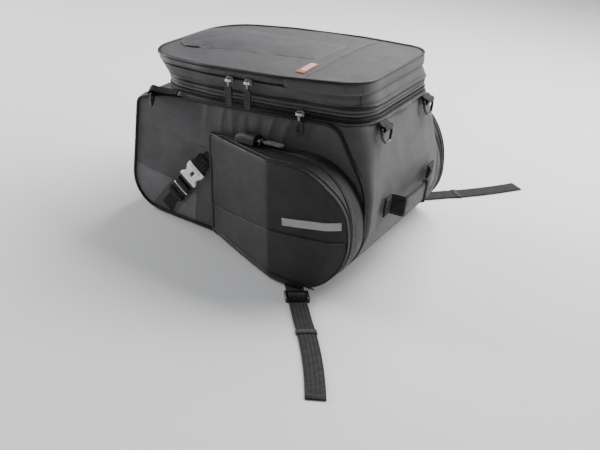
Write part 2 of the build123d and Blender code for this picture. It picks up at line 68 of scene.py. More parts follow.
def lid_point(u, v, w):
    """World position (mm) of points given in the lid's frame."""
    u, v, w = np.broadcast_arrays(np.asarray(u, float), np.asarray(v, float), np.asarray(w, float))
    return LID_ORIGIN + u[..., None] * FORWARD + v[..., None] * LEFT + w[..., None] * OUT


def unit(vector):
    return np.asarray(vector, float) / np.linalg.norm(vector)


def run_length(points):
    """Distance along a polyline at each of its points."""
    return np.r_[0, np.cumsum(np.linalg.norm(np.diff(points, axis=0), axis=1))]


def resample(points, count, closed=False):
    """Evenly spaced points along a polyline."""
    p = np.asarray(points, float)
    if closed:
        p = np.vstack([p, p[:1]])
    run = run_length(p)
    stops = np.linspace(0, run[-1], count + 1)[:count] if closed else np.linspace(0, run[-1], count)
    return np.stack([np.interp(stops, run, p[:, k]) for k in range(p.shape[1])], 1)


def rounded(corners, radii, count=None, closed=True):
    """Points along a polygon with rounded corners."""
    c = [np.array(q, float) for q in corners]
    points = []
    for i, corner in enumerate(c):
        r = radii[i]
        if r <= 0 or (not closed and i in (0, len(c) - 1)):
            points.append(corner)
            continue
        a = unit(c[i - 1] - corner)
        b = unit(c[(i + 1) % len(c)] - corner)
        half = acos(np.clip(a @ b, -1, 1)) / 2
        centre = corner + unit(a + b) * r / sin(half)
        start = corner + a * r / tan(half) - centre
        end = corner + b * r / tan(half) - centre
        sweep = acos(np.clip(start @ end / r ** 2, -1, 1))
        for k in range(13):
            f = k / 12
            points.append(centre + (start * sin((1 - f) * sweep) + end * sin(f * sweep)) / sin(sweep))
    return resample(points, count, closed) if count else np.array(points)


def plan_loop(plan, radii, count):
    """Closed outline in the lid's plane, anticlockwise from above, starting at the rear right."""
    right = [(u, -v) for u, v in reversed(plan)]
    left = [(u, v) for u, v in plan]
    return rounded(right + left, list(reversed(radii)) + list(radii), count)


def box_outline(x0, y0, x1, y1, radius, count=None):
    """Rectangle between two corners, with one radius at its corners."""
    return rounded([(x0, y0), (x1, y0), (x1, y1), (x0, y1)], [radius] * 4, count)


def loop_normals(loop):
    """Outward normals of an anticlockwise closed outline."""
    along = np.roll(loop, -1, 0) - np.roll(loop, 1, 0)
    along /= np.linalg.norm(along, axis=1)[:, None]
    return np.stack([along[:, 1], -along[:, 0]], 1)


def outward_of(loop):
    """Outward directions (world) of an outline in the lid's plane."""
    normals = loop_normals(loop)
    return normals[:, :1] * FORWARD + normals[:, 1:] * LEFT


def noise_field(seed, scale, count=7):
    """Smooth repeatable undulation of position (mm), about -1 to 1."""
    dice = np.random.RandomState(seed)
    waves = dice.normal(size=(count, 3)) / scale
    phases = dice.uniform(0, 2 * pi, count)

    def field(points):
        return np.sin(points @ waves.T * 2.2 + phases).sum(-1) / count ** 0.5 / 1.4

    return field


def put(name, data):
    """New object in the scene."""
    made = bpy.data.objects.new(name, data)
    bpy.context.scene.collection.objects.link(made)
    return made


# ---------------------------------------------------------------- materials


class Shader:
    """Small helper to wire procedural materials."""

    def __init__(self, name, color, roughness, **settings):
        self.material = bpy.data.materials.new(name)
        self.material.use_nodes = True
        self.tree = self.material.node_tree
        self.surface = self.tree.nodes["Principled BSDF"]
        self.surface.inputs["Base Color"].default_value = (*color, 1)
        self.surface.inputs["Roughness"].default_value = roughness
        for socket, value in settings.items():
            self.surface.inputs[socket.replace("_", " ")].default_value = value
        self.place = self.node("ShaderNodeTexCoord")
        self.color = color

    def node(self, kind, inputs=(), **properties):
        made = self.tree.nodes.new(kind)
        for key, value in properties.items():
            setattr(made, key, value)
        for key, value in dict(inputs).items():
            if hasattr(value, "is_output"):
                self.tree.links.new(value, made.inputs[key])
            else:
                made.inputs[key].default_value = value
        return made

    def math(self, operation, a, b=0.0, clamp=False):
        return self.node("ShaderNodeMath", {0: a, 1: b}, operation=operation, use_clamp=clamp).outputs[0]

    def noise(self, scale, detail=2.0, coords=None):
        vector = coords or self.place.outputs["Object"]
        made = self.node("ShaderNodeTexNoise", {"Vector": vector, "Scale": scale, "Detail": detail})
        return made.outputs["Fac"]

    def weave(self, pitch):
        """Crossing threads, quiet along the surface's own normal."""
        where = self.node("ShaderNodeSeparateXYZ", {0: self.place.outputs["Object"]})
        facing = self.node("ShaderNodeSeparateXYZ", {0: self.place.outputs["Normal"]})
        total = None
        for axis in range(3):
            thread = self.math("SINE", self.math("MULTIPLY", where.outputs[axis], 2 * pi / pitch))
            away = self.math("SUBTRACT", 1.0, self.math("ABSOLUTE", facing.outputs[axis]), clamp=True)
            part = self.math("MULTIPLY", thread, away)
            total = part if total is None else self.math("ADD", total, part)
        return total

    def ribs(self, pitch_across, pitch_along, slant=0.0):
        """Webbing ribs from the strap's own coordinates (metres across and along)."""
        where = self.node("ShaderNodeSeparateXYZ", {0: self.place.outputs["UV"]})
        across = self.math("MULTIPLY", where.outputs[0], 2 * pi / pitch_across)
        skew = self.math("MULTIPLY", self.math("ABSOLUTE", self.math("SINE", across)), slant)
        along = self.math("ADD", self.math("MULTIPLY", where.outputs[1], 2 * pi / pitch_along), skew)
        return self.math("ADD", self.math("SINE", across), self.math("SINE", along))

    def vary_color(self, factor, low, high):
        """Base colour from low to high brightness with a 0-1 factor."""
        ramp = self.node("ShaderNodeValToRGB", {0: factor})
        ramp.color_ramp.elements[0].position = 0.3
        ramp.color_ramp.elements[1].position = 0.7
        for element, gain in zip(ramp.color_ramp.elements, (low, high)):
            element.color = (*[min(c * gain, 1) for c in self.color], 1)
        self.tree.links.new(ramp.outputs[0], self.surface.inputs["Base Color"])
        return ramp

    def vary_roughness(self, factor, low, high):
        spread = self.node(
            "ShaderNodeMapRange",
            {"Value": factor, "From Min": 0.3, "From Max": 0.7, "To Min": low, "To Max": high}
        )
        self.tree.links.new(spread.outputs[0], self.surface.inputs["Roughness"])

    def bump(self, *layers):
        """Bump from (height, distance in metres, strength) layers."""
        last = None
        for height, distance, strength in layers:
            inputs = {"Height": height, "Distance": distance, "Strength": strength}
            if last:
                inputs["Normal"] = last
            last = self.node("ShaderNodeBump", inputs).outputs["Normal"]
        self.tree.links.new(last, self.surface.inputs["Normal"])


def worn_factor(shader, base, amount):
    """Adds a little wear where edges stick out."""
    edges = shader.node("ShaderNodeNewGeometry").outputs["Pointiness"]
    worn = shader.node(
        "ShaderNodeMapRange",
        {"Value": edges, "From Min": 0.5, "From Max": 0.62, "To Min": 0.0, "To Max": amount}
    )
    return shader.math("ADD", base, worn.outputs[0], clamp=True)


def cloth_material(name, color, roughness=0.72, pitch=0.0014, sheen=0.14, depth=0.00026, crumple=0.0011):
    s = Shader(name, color, roughness, Sheen_Weight=sheen, Sheen_Roughness=0.45)
    s.surface.inputs["Specular IOR Level"].default_value = 0.42
    s.surface.inputs["Sheen Tint"].default_value = (0.95, 0.96, 1.0, 1)
    mottle = s.math("ADD", s.math("MULTIPLY", s.noise(28, 3), 0.6), s.math("MULTIPLY", s.noise(420, 2), 0.4))
    threads = s.weave(pitch)
    shade = s.math("ADD", mottle, s.math("MULTIPLY", threads, 0.07))
    s.vary_color(worn_factor(s, shade, 0.12), 0.78, 1.28)
    s.vary_roughness(s.noise(60, 3), roughness - 0.08, roughness + 0.1)
    s.bump((s.noise(22, 3), crumple, 0.35), (threads, depth, 0.5))
    return s.material


def webbing_material(name, color):
    s = Shader(name, color, 0.7, Sheen_Weight=0.12, Sheen_Roughness=0.4)
    s.surface.inputs["Specular IOR Level"].default_value = 0.35
    ribs = s.ribs(0.0052, 0.0022, slant=2.0)
    shade = s.math("ADD", s.noise(90, 3), s.math("MULTIPLY", ribs, 0.11))
    s.vary_color(shade, 0.6, 1.6)
    s.vary_roughness(s.noise(160, 2), 0.6, 0.82)
    s.bump((ribs, 0.0004, 0.7), (s.noise(1400, 1), 0.0001, 0.3))
    return s.material


def tape_material(name, color):
    s = Shader(name, color, 0.8, Sheen_Weight=0.2)
    fine = s.weave(0.0011)
    s.vary_color(s.math("ADD", s.noise(220, 3), s.math("MULTIPLY", fine, 0.08)), 0.65, 1.5)
    s.vary_roughness(s.noise(200, 2), 0.7, 0.9)
    s.bump((fine, 0.0002, 0.6))
    return s.material


def rubber_material(name, color, roughness=0.62, grain=900.0):
    s = Shader(name, color, roughness)
    s.surface.inputs["Specular IOR Level"].default_value = 0.4
    s.vary_color(worn_factor(s, s.noise(120, 3), 0.3), 0.75, 1.4)
    s.vary_roughness(s.noise(90, 3), roughness - 0.1, roughness + 0.12)
    s.bump((s.noise(grain, 2), 0.00012, 0.5))
    return s.material


def plastic_material(name, color, roughness=0.3):
    s = Shader(name, color, roughness, Coat_Weight=0.15, Coat_Roughness=0.2)
    s.vary_color(worn_factor(s, s.noise(150, 3), 0.25), 0.85, 1.5)
    s.vary_roughness(s.noise(240, 3), roughness - 0.07, roughness + 0.14)
    s.bump((s.noise(700, 2), 0.00006, 0.4))
    return s.material


def metal_material(name, color, roughness=0.28, metallic=1.0):
    s = Shader(name, color, roughness, Metallic=metallic)
    s.vary_color(worn_factor(s, s.noise(300, 3), 0.3), 0.8, 1.25)
    s.vary_roughness(s.noise(350, 4), roughness - 0.08, roughness + 0.2)
    s.bump((s.noise(1600, 2), 0.00004, 0.4))
    return s.material


def reflective_material(name):
    s = Shader(name, (0.30, 0.305, 0.31), 0.35, Coat_Weight=0.3, Coat_Roughness=0.15)
    cells = s.node("ShaderNodeTexVoronoi", {"Vector": s.place.outputs["Object"], "Scale": 620.0})
    s.vary_color(s.math("ADD", cells.outputs["Distance"], s.math("MULTIPLY", s.noise(60), 0.3)), 0.8, 1.25)
    s.vary_roughness(s.noise(80, 2), 0.3, 0.5)
    s.bump((cells.outputs["Distance"], 0.0001, 0.5))
    return s.material


def floor_material():
    s = Shader("studio_floor", (0.80, 0.805, 0.81), 0.75)
    s.vary_color(s.noise(0.8, 2), 0.98, 1.02)
    return s.material


SHELL = cloth_material("shell_fabric_weave", (0.09, 0.09, 0.091), sheen=0.1)
SHELL_LIGHT = cloth_material("shell_fabric_lighter_lower", (0.15, 0.15, 0.152), roughness=0.5, sheen=0.1)
# pocket fabric: dark of its own, darkened further as painted shade of the pocket's shaded front plane and
# gusset wall; it also covers the wall bead and zip garage hood
POCKET_PAINTED_SHADE = cloth_material(
    "pocket_fabric_weave_painted_shade", (0.012, 0.012, 0.0124), roughness=0.46, sheen=0.05, crumple=0.0008
)
PAD = cloth_material("pad_fabric_satin", (0.056, 0.056, 0.057), roughness=0.36, sheen=0.12, crumple=0.0006)
TOP = cloth_material("lid_fabric_weave", (0.05, 0.05, 0.051), roughness=0.4, sheen=0.12, crumple=0.0007)
LINING = cloth_material("lining_nylon", (0.2, 0.2, 0.21), roughness=0.5, pitch=0.0007, crumple=0.0015)
PIPING = rubber_material("piping_coated", (0.008, 0.008, 0.0085), roughness=0.45)
WEB = webbing_material("webbing_woven", (0.007, 0.007, 0.0074))
TAPE = tape_material("zip_tape_woven", (0.009, 0.009, 0.0095))
COIL = plastic_material("zip_coil_nylon", (0.016, 0.016, 0.017), roughness=0.42)
THREAD = cloth_material("stitch_thread", (0.13, 0.13, 0.135), roughness=0.6, pitch=0.0006)
RUBBER = rubber_material("pull_rubber_moulded", (0.022, 0.022, 0.023), roughness=0.38)
RUBBER_GREY = rubber_material("pull_rubber_grey", (0.22, 0.222, 0.228), roughness=0.45)
PLASTIC = plastic_material("ring_acetal_black", (0.014, 0.014, 0.015), roughness=0.27)
ADJUSTER = plastic_material("buckle_acetal_black", (0.012, 0.012, 0.013), roughness=0.2)
SILVER = metal_material("buckle_silver_satin", (0.86, 0.87, 0.88), roughness=0.34, metallic=0.55)
LACQUER = metal_material("slider_lacquer", (0.16, 0.16, 0.165), roughness=0.2)
BRIGHT = metal_material("ladder_bar_steel", (0.82, 0.83, 0.84), roughness=0.22)
REFLECT = reflective_material("reflective_film")
TAG_RED = cloth_material("tag_red_satin", (0.62, 0.06, 0.035), roughness=0.35, pitch=0.0008, sheen=0.4)
TAG_PALE = cloth_material("tag_pale_band", (0.85, 0.55, 0.5), roughness=0.35, pitch=0.0008, sheen=0.3)
MATTING = rubber_material("base_mat_rubber", (0.03, 0.03, 0.032), roughness=0.8, grain=300.0)
BOARD = plastic_material("board_polypropylene", (0.1, 0.1, 0.1), roughness=0.5)
FOAM = rubber_material("foam_closed_cell", (0.12, 0.12, 0.125), roughness=0.95, grain=500.0)

# ---------------------------------------------------------------- mesh building


def build(name, verts, faces, material, body, slot, hides=(), uv=None, mirror=False, thick=0.0, flat=False):
    """New piece from points in mm. mirror makes the left-hand twin of a right-hand piece."""
    points = np.array(verts, float).reshape(-1, 3) * MM
    polys = [tuple(f) for f in faces]
    if mirror:
        points[:, 1] *= -1
        polys = [tuple(reversed(f)) for f in polys]
    mesh = bpy.data.meshes.new(name)
    mesh.from_pydata(points.tolist(), [], polys)
    if uv is not None:
        layer = mesh.uv_layers.new(name="UVMap")
        flat_uv = np.array(uv, float)
        index = np.zeros(len(mesh.loops), int)
        mesh.loops.foreach_get("vertex_index", index)
        layer.data.foreach_set("uv", flat_uv[index].ravel())
    mesh.polygons.foreach_set("use_smooth", [not flat] * len(mesh.polygons))
    mesh.materials.append(material)
    piece = put(name, mesh)
    if thick:
        skin = piece.modifiers.new("thickness", "SOLIDIFY")
        skin.thickness = thick * MM
        skin.offset = -1
    if body:
        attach(piece, body)
    if hides:
        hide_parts(*hides)
    return piece


def grid_faces(rows, columns, closed=True, first=0):
    """Quads of a grid of rows rings with columns points each."""
    wrap = columns if closed else columns - 1
    faces = []
    for r in range(rows - 1):
        for c in range(wrap):
            a = first + r * columns + c
            b = first + r * columns + (c + 1) % columns
            faces.append((a, b, b + columns, a + columns))
    return faces


def loft(name, rings, material, body, slot, closed=True, caps=(False, False), **options):
    """Skin over rings of points (rows x columns x 3, mm)."""
    rings = np.asarray(rings, float)
    rows, columns = rings.shape[:2]
    faces = grid_faces(rows, columns, closed)
    if caps[0]:
        faces.append(tuple(reversed(range(columns))))
    if caps[1]:
        faces.append(tuple(range((rows - 1) * columns, rows * columns)))
    return build(name, rings.reshape(-1, 3), faces, material, body, slot, **options)


def path_frames(points, closed, up):
    """Tangents, side and normal vectors along a path. up is a vector or one per point."""
    p = np.asarray(points, float)
    if closed:
        along = np.roll(p, -1, 0) - np.roll(p, 1, 0)
    else:
        along = np.gradient(p, axis=0)
    along /= np.linalg.norm(along, axis=1)[:, None] + 1e-9
    ups = np.broadcast_to(np.asarray(up, float), p.shape)
    side = np.cross(along, ups)
    side /= np.linalg.norm(side, axis=1)[:, None] + 1e-9
    return along, side, np.cross(side, along)


def sweep(name, points, section, up, material, body, slot, closed=False, **options):
    """Section (n x 2: side, normal) swept along a path. Gives strap coordinates in metres."""
    p = np.asarray(points, float)
    _, side, normal = path_frames(p, closed, up)
    sec = np.asarray(section, float)
    rings = p[:, None] + sec[None, :, 0, None] * side[:, None] + sec[None, :, 1, None] * normal[:, None]
    rows, columns = rings.shape[:2]
    faces = grid_faces(rows, columns)
    if closed:
        last = (rows - 1) * columns
        for c in range(columns):
            d = (c + 1) % columns
            faces.append((last + c, last + d, d, c))
    else:
        faces.append(tuple(reversed(range(columns))))
        faces.append(tuple(range((rows - 1) * columns, rows * columns)))
    run = run_length(p)
    uv = np.zeros((rows, columns, 2))
    uv[..., 0] = sec[None, :, 0] * MM
    uv[..., 1] = run[:, None] * MM
    return build(name, rings.reshape(-1, 3), faces, material, body, slot, uv=uv.reshape(-1, 2), **options)


def along_path(points, up, count, closed):
    """Evenly spaced points of a path, with the up vector at each."""
    p = np.asarray(points, float)
    if np.ndim(up) == 1:
        return resample(p, count, closed), up
    both = np.hstack([p, np.asarray(up, float) * 1e-6])
    both = resample(both, count, closed)
    return both[:, :3], both[:, 3:] * 1e6


def spaced_frames(points, up, pitch, least, closed):
    """Points a pitch apart along a path, their number, and the path's directions at each."""
    p = np.asarray(points, float)
    count = max(int(run_length(np.vstack([p, p[:1]]) if closed else p)[-1] / pitch), least)
    q, ups = along_path(p, up, count, closed)
    return count, q, *path_frames(q, closed, ups)


def round_section(radius, sides=12, squash=1.0):
    turn = np.linspace(0, 2 * pi, sides, endpoint=False)
    return np.stack([radius * np.cos(turn), radius * squash * np.sin(turn)], 1)


def strap_section(width, thick, lift=0.0):
    """Flat webbing section with soft edges and a faint hollow along each edge."""
    w, t = width / 2, thick / 2
    top = [(w, 0), (w - 0.35, t * 0.8), (w - 1.2, t), (w - 2.4, t * 0.86), (w - 3.4, t), (w * 0.35, t * 1.02)]
    top += [(-x, y) for x, y in reversed(top)]
    bottom = [(x, -y) for x, y in reversed(top[1:-1])]
    return np.array(top + bottom) + np.array([0, lift])


def tube(name, points, radius, up, material, body, slot, closed=False, sides=12, **options):
    return sweep(
        name, points, round_section(radius, sides), up, material, body, slot, closed=closed, **options
    )


def stitches(
    name, points, up, body, slot, pitch=3.4, length=2.3, radius=0.32, lift=0.1, closed=False, **options
):
    """Row of sewn stitches along a path."""
    count, q, along, side, normal = spaced_frames(points, up, pitch, 2, closed)
    ring = round_section(radius, 6)
    verts, faces = [], []
    for i in range(count):
        base = len(verts)
        for step, gain in ((-0.5, 0.35), (-0.3, 1.0), (0.3, 1.0), (0.5, 0.35)):
            centre = q[i] + along[i] * length * step + normal[i] * (lift if gain == 1.0 else lift - radius)
            for s, n in ring * gain:
                verts.append(centre + side[i] * s + normal[i] * n)
        faces += grid_faces(4, 6, True, base)
        faces.append(tuple(reversed(range(base, base + 6))))
        faces.append(tuple(range(base + 18, base + 24)))
    return build(name, verts, faces, THREAD, body, slot, **options)


def zip_coil(name, points, up, body, slot, width=4.2, pitch=1.7, closed=False, **options):
    """Two interlocked rows of zip teeth along a path."""
    count, q, along, side, normal = spaced_frames(points, up, pitch, 4, closed)
    verts, faces = [], []
    for i in range(count):
        lean = 0.6 if i % 2 else -0.6
        base = len(verts)
        for s, n, half in (
            (-0.5, 0.0, 0.3), (-0.36, 0.75, 0.55), (0.0, 0.95, 0.6), (0.36, 0.75, 0.55), (0.5, 0.0, 0.3)
        ):
            centre = q[i] + side[i] * (s * width + lean) + normal[i] * n
            for a, b in ((-half, -0.35), (half, -0.35), (half * 0.8, 0.3), (-half * 0.8, 0.3)):
                verts.append(centre + along[i] * a + normal[i] * b)
        faces += grid_faces(5, 4, True, base)
        faces.append(tuple(reversed(range(base, base + 4))))
        faces.append(tuple(range(base + 16, base + 20)))
    return build(name, verts, faces, COIL, body, slot, **options)


def prism(name, outline, low, high, plane, material, body, slot, bevel=0.6, holes=(), **options):
    """Plate with an outline (n x 2), and optional holes, between two heights of a plane.
    plane is (origin, x direction, y direction, z direction) in mm."""
    origin, x, y, z = (np.asarray(v, float) for v in plane)
    mesh = bmesh.new()

    def wire(loop):
        made = [mesh.verts.new(tuple(origin + x * a + y * b + z * low)) for a, b in loop]
        return [mesh.edges.new((made[i], made[(i + 1) % len(made)])) for i in range(len(made))]

    edges = wire(outline)
    for hole in holes:
        edges += wire(hole)
    bmesh.ops.triangle_fill(mesh, use_beauty=True, use_dissolve=True, edges=edges, normal=tuple(z))
    grown = bmesh.ops.extrude_face_region(mesh, geom=mesh.faces[:])
    moved = [g for g in grown["geom"] if isinstance(g, bmesh.types.BMVert)]
    bmesh.ops.translate(mesh, verts=moved, vec=tuple(z * (high - low)))
    bmesh.ops.recalc_face_normals(mesh, faces=mesh.faces[:])
    mesh.verts.ensure_lookup_table()
    verts = np.array([v.co[:] for v in mesh.verts])
    faces = [[v.index for v in f.verts] for f in mesh.faces]
    mesh.free()
    piece = build(name, verts, faces, material, body, slot, **options)
    soften(piece, bevel)
    return piece


def soften(piece, width, segments=3, angle=35.0):
    """Rounds the hard edges of a moulded piece."""
    edge = piece.modifiers.new("edges", "BEVEL")
    edge.width = width * MM
    edge.segments = segments
    edge.limit_method = "ANGLE"
    edge.angle_limit = radians(angle)
    shade = piece.modifiers.new("shading", "WEIGHTED_NORMAL")
    shade.keep_sharp = True


SIDES = (("right", False), ("left", True))

# ---------------------------------------------------------------- camera and free straps

CAMERA_LENS = 54.0
camera_data = bpy.data.cameras.new("camera")
camera_data.lens = CAMERA_LENS
camera_data.sensor_width = 36.0
camera_data.clip_end = 50.0
camera = put("camera", camera_data)
look_turn, look_down = radians(30.06), radians(24.96)
look_right = FORWARD * cos(look_turn) + LEFT * sin(look_turn)
look_ahead = (LEFT * cos(look_turn) - FORWARD * sin(look_turn)) * cos(look_down) - OUT * sin(look_down)
look_up = np.cross(look_right, look_ahead)
eye = lid_point(566.2, -1097.3, 319.1) * MM
camera.matrix_world = Matrix([
    (look_right[k], look_up[k], -look_ahead[k], eye[k]) for k in range(3)
] + [(0, 0, 0, 1)])
bpy.context.scene.camera = camera

WEBBING = 25.0
STRAP_TAIL = [
    (0.139, -0.207),
    (0.149, -0.219),
    (0.164, -0.238),
    (0.184, -0.261),
    (0.204, -0.287),
    (0.223, -0.314),
    (0.240, -0.340),
    (0.253, -0.362),
]
TAIL_THICK = 3.0


def tail_line():
    """Smooth line of the right-hand free strap, read from its spline (mm)."""
    curve = bpy.data.curves.new("tail_line", "CURVE")
    curve.dimensions = "3D"
    spline = curve.splines.new("NURBS")
    spline.points.add(len(STRAP_TAIL) - 1)
    for point, (x, y) in zip(spline.points, STRAP_TAIL):
        point.co = (x, y, TAIL_THICK / 2 * MM, 1)
    spline.order_u = 3
    spline.use_endpoint_u = True
    spline.resolution_u = 8
    holder = put("tail_line", curve)
    bpy.context.view_layer.update()
    mesh = bpy.data.meshes.new_from_object(holder)
    line = np.array([v.co[:] for v in mesh.vertices]) / MM
    bpy.data.objects.remove(holder)
    bpy.data.meshes.remove(mesh)
    return resample(line, 90)


UP = np.array([0.0, 0.0, 1.0])
tail = tail_line()
for side, mirror in SIDES:
    strap = sweep(
        f"front_strap_tail_web_{side}", tail, strap_section(WEBBING, TAIL_THICK - 0.3), UP, WEB, "bag",
        "webbing", hides=(f"front_strap_tail_{side}",), mirror=mirror,
    )
    across = unit(np.cross(tail[-1] - tail[-8], UP))
    # folded end: a small roll where the webbing turns back on itself, and the sewn box before it
    roll = sweep(
        f"front_strap_end_fold_{side}", np.array([tail[-1] - across * 12.3, tail[-1] + across * 12.3]),
        round_section(1.45, 14), UP, WEB, "bag", "webbing", mirror=mirror,
    )
    sewn = [
        tail[-9] - across * 10 + UP * 1.45, tail[-3] - across * 10 + UP * 1.45,
        tail[-3] + across * 10 + UP * 1.45, tail[-9] + across * 10 + UP * 1.45,
    ]
    box = stitches(
        f"front_strap_end_sewing_{side}", resample(sewn, 60, True), UP, "bag", "webbing",
        closed=True, pitch=2.9, length=2.0, radius=0.28, mirror=mirror,
    )
    centre = tail[30]
    keeper_across = unit(np.cross(tail[33] - tail[27], UP))
    keeper_ahead = unit(tail[33] - tail[27])
    band = [(-13.6, 0.2), (-13.6, 3.1), (-12.9, 3.8), (12.9, 3.8), (13.6, 3.1), (13.6, 0.2)]
    keeper_path = [centre + keeper_across * a + UP * (b - TAIL_THICK / 2) for a, b in band]
    keeper_ring = np.array([
        [q + keeper_ahead * s for q in resample(keeper_path, 40)] for s in (-4.2, -3.9, 3.9, 4.2)
    ])
    keeper_ring[0, :, 2] -= 0.3
    keeper_ring[3, :, 2] -= 0.3
    keeper = loft(
        f"front_strap_keeper_{side}", keeper_ring, TAPE, "bag", "webbing", closed=False, thick=0.7,
        mirror=mirror,
    )

for side, mirror in SIDES:
    heading = np.array([0.614, -0.789, 0.0])
    across = np.array([0.789, 0.614, 0.0])
    spot = np.array([130.0, -195.0, 0.0])
    stub = [spot - heading * d + UP * 0.8 for d in np.linspace(12.6, 97.5, 40)]
    sweep(
        f"front_strap_stub_web_{side}", stub, strap_section(WEBBING, 1.5), UP, WEB, "bag", "webbing",
        hides=(f"front_strap_stub_{side}",), mirror=mirror,
    )
    # ladder adjuster: dished frame, raised rails, and the webbing turned over its middle bar
    frame_outline = box_outline(-16.5, -12, 16.5, 12, 2.5)
    slots = [box_outline(-13.2, y - 1.9, 13.2, y + 1.9, 0.8)
             for y in (-5, 5)]
    prism(
        f"strap_adjuster_frame_{side}", frame_outline, 0.1, 4.2, (spot, across, -heading, UP), ADJUSTER,
        "bag",
        "buckle_black", bevel=0.9, holes=slots, hides=(f"strap_adjuster_{side}",), mirror=mirror,
    )
    for number, offset in enumerate((-14.9, 14.9)):
        rail = [spot + across * offset + heading * d + UP * h for d, h in
                ((-10.5, 4.1), (-8, 5.0), (0, 5.3), (8, 5.0), (10.5, 4.1))]
        tube(
            f"strap_adjuster_rail_{number}_{side}", resample(rail, 16), 1.5, UP, ADJUSTER, "bag",
            "buckle_black",
            mirror=mirror,
        )
    turn = [(12.0, 1.6), (8.5, 2.4), (4.8, 4.6), (0.0, 5.9), (-4.6, 4.8), (-7.5, 2.2), (-10, 1.4)]
    loop = resample(rounded(turn, [0, 4, 6, 8, 5, 3, 0], closed=False), 30)
    sweep(
        f"strap_adjuster_webbing_{side}", [spot - heading * a + UP * b for a, b in loop],
        strap_section(WEBBING - 0.6, 1.5), UP, WEB, "bag", "webbing", mirror=mirror,
    )

# ---------------------------------------------------------------- body shell

PROFILE = [
    (147, MAT), (186, 72), (182, 132),
    tuple(lid_point(94, 0, SEAM_W)[[0, 2]]), tuple(lid_point(-256, 0, SEAM_W)[[0, 2]]),
    (-207, 173), (-211, MAT),
]
PROFILE_RADII = [14, 80, 80, 0, 0, 14, 50]
CORNERS = [(-1, 5), (72, 5), (100, 6), (132, 9), (165, 17), (197, 26), (245, 46)]


def seam_height(x):
    """Height of the body's top seam above the ground."""
    base = lid_point(0, 0, SEAM_W)
    return base[2] + tan(TILT) * (x - base[0])


profile = rounded(PROFILE, PROFILE_RADII)
profile = resample(profile, 1200, True)
level = (profile[:, 1] - MAT) / (seam_height(profile[:, 0]) - MAT)
front = profile[:, 0] > 60
rear = profile[:, 0] < -100


def edge_x(part, t):
    """Front or rear edge of the profile at a share t of the body's height."""
    order = np.argsort(level[part])
    return np.interp(t, level[part][order], profile[part][order, 0])


def body_ring(t, inset=0.0):
    """Horizontal section of the body at a share t of its height."""
    x_front = edge_x(front, t) - inset
    x_rear = edge_x(rear, t) + inset
    half = HALF_WIDTH - inset
    height = MAT + t * (seam_height(x_front) - MAT)
    r_front = np.interp(height, [z for z, _ in CORNERS], [r for _, r in CORNERS])
    r_rear = 4.0 + 10 * max(t - 0.75, 0)
    plan = []
    sides = [
        ((x_rear, -half), r_rear), ((x_front, -half), r_front), ((x_front, half), r_front),
        ((x_rear, half), r_rear)
    ]
    corner_turn = [(-pi, -pi / 2), (-pi / 2, 0), (0, pi / 2), (pi / 2, pi)]
    centres = []
    for ((x, y), r), (start, end) in zip(sides, corner_turn):
        centre = np.array([x - np.sign(x) * r if x > 0 else x + r, y - np.sign(y) * r])
        centres.append((centre, r, start, end))
    for k, (centre, r, start, end) in enumerate(centres):
        angles = np.linspace(start, end, 14)
        plan += [centre + r * np.array([cos(a), sin(a)]) for a in angles]
        nxt, nr, nstart, _ = centres[(k + 1) % 4]
        a = centre + r * np.array([cos(end), sin(end)])
        b = nxt + nr * np.array([cos(nstart), sin(nstart)])
        count = 96 if k in (0, 2) else 60
        plan += [a + (b - a) * f for f in np.linspace(0, 1, count + 2)[1:-1]]
    plan = np.array(plan)
    z = MAT + t * (seam_height(plan[:, 0]) - MAT)
    return np.column_stack([plan, z])


def to_lid(points):
    """Lid coordinates (u, v, w) of world points."""
    d = points - LID_ORIGIN
    return np.stack([d @ FORWARD, d @ LEFT, d @ OUT], -1)


neck = plan_loop(NECK_PLAN, NECK_RADII, 900)
ripple = noise_field(3, 38)
broad = noise_field(8, 95)

levels = np.concatenate(
    [[0, 0.004, 0.012, 0.03, 0.055], np.linspace(0.08, 0.93, 54), [0.95, 0.968, 0.982, 0.992, 1.0]]
)
insets = np.interp(levels, [0, 0.93, 0.968, 0.992, 1.0], [0, 0, 0.8, 2.6, 4.6])
rings = [body_ring(t, i) for t, i in zip(levels, insets)]
# shoulder: from the body's top edge in to the neck
last = to_lid(rings[-1])
gap = np.linalg.norm(last[:, None, :2] - neck[None], axis=2)
nearest = neck[gap.argmin(1)]
for _ in range(6):
    nearest = (np.roll(nearest, 1, 0) + nearest + np.roll(nearest, -1, 0)) / 3
for f, rise in ((0.3, 0.7), (0.6, 1.0), (0.85, 1.0), (1.0, 0.6), (1.06, -1.5)):
    flat = last[:, :2] * (1 - f) + nearest * f
    rings.append(lid_point(flat[:, 0], flat[:, 1], SEAM_W + rise))
rings = np.array(rings)
centre_line = np.array([-10.0, 0.0])
away = rings[..., :2] - centre_line
away /= np.linalg.norm(away, axis=2)[..., None]
soft = ripple(rings) * 0.55 + broad(rings) * 1.1
strength = np.interp(np.arange(len(rings)), [0, 3, 10, len(levels), len(rings)], [0, 0.1, 1, 0.5, 0])
facing = np.where(np.abs(np.abs(rings[..., 1]) - HALF_WIDTH) < 1.0, 0.25, 1.0)
rings[..., :2] += away * (soft * strength[:, None] * facing)[..., None]
loft(
    "body_shell", rings, SHELL, "bag", "shell_fabric", caps=(True, False), thick=2.2,
    hides=("wrap_panel", "side_panel_right", "side_panel_left"),
)

# ---------------------------------------------------------------- D-shaped side panels

D_EDGE = [(144, 4), (180, 72), (173, 142), (118, 221), (-166, 185.5), (-205, 171), (-209, 4)]
D_RADII = [18, 70, 90, 30, 60, 16, 48]
PANEL_Y = -HALF_WIDTH - 0.5
STRAP_TOP = np.array([-79.0, 0.0, 112.0])
STRAP_FOOT = np.array([-146.0, 0.0, 13.0])
strap_run = unit(STRAP_FOOT - STRAP_TOP)
strap_cross = np.array([strap_run[2], 0.0, -strap_run[0]])

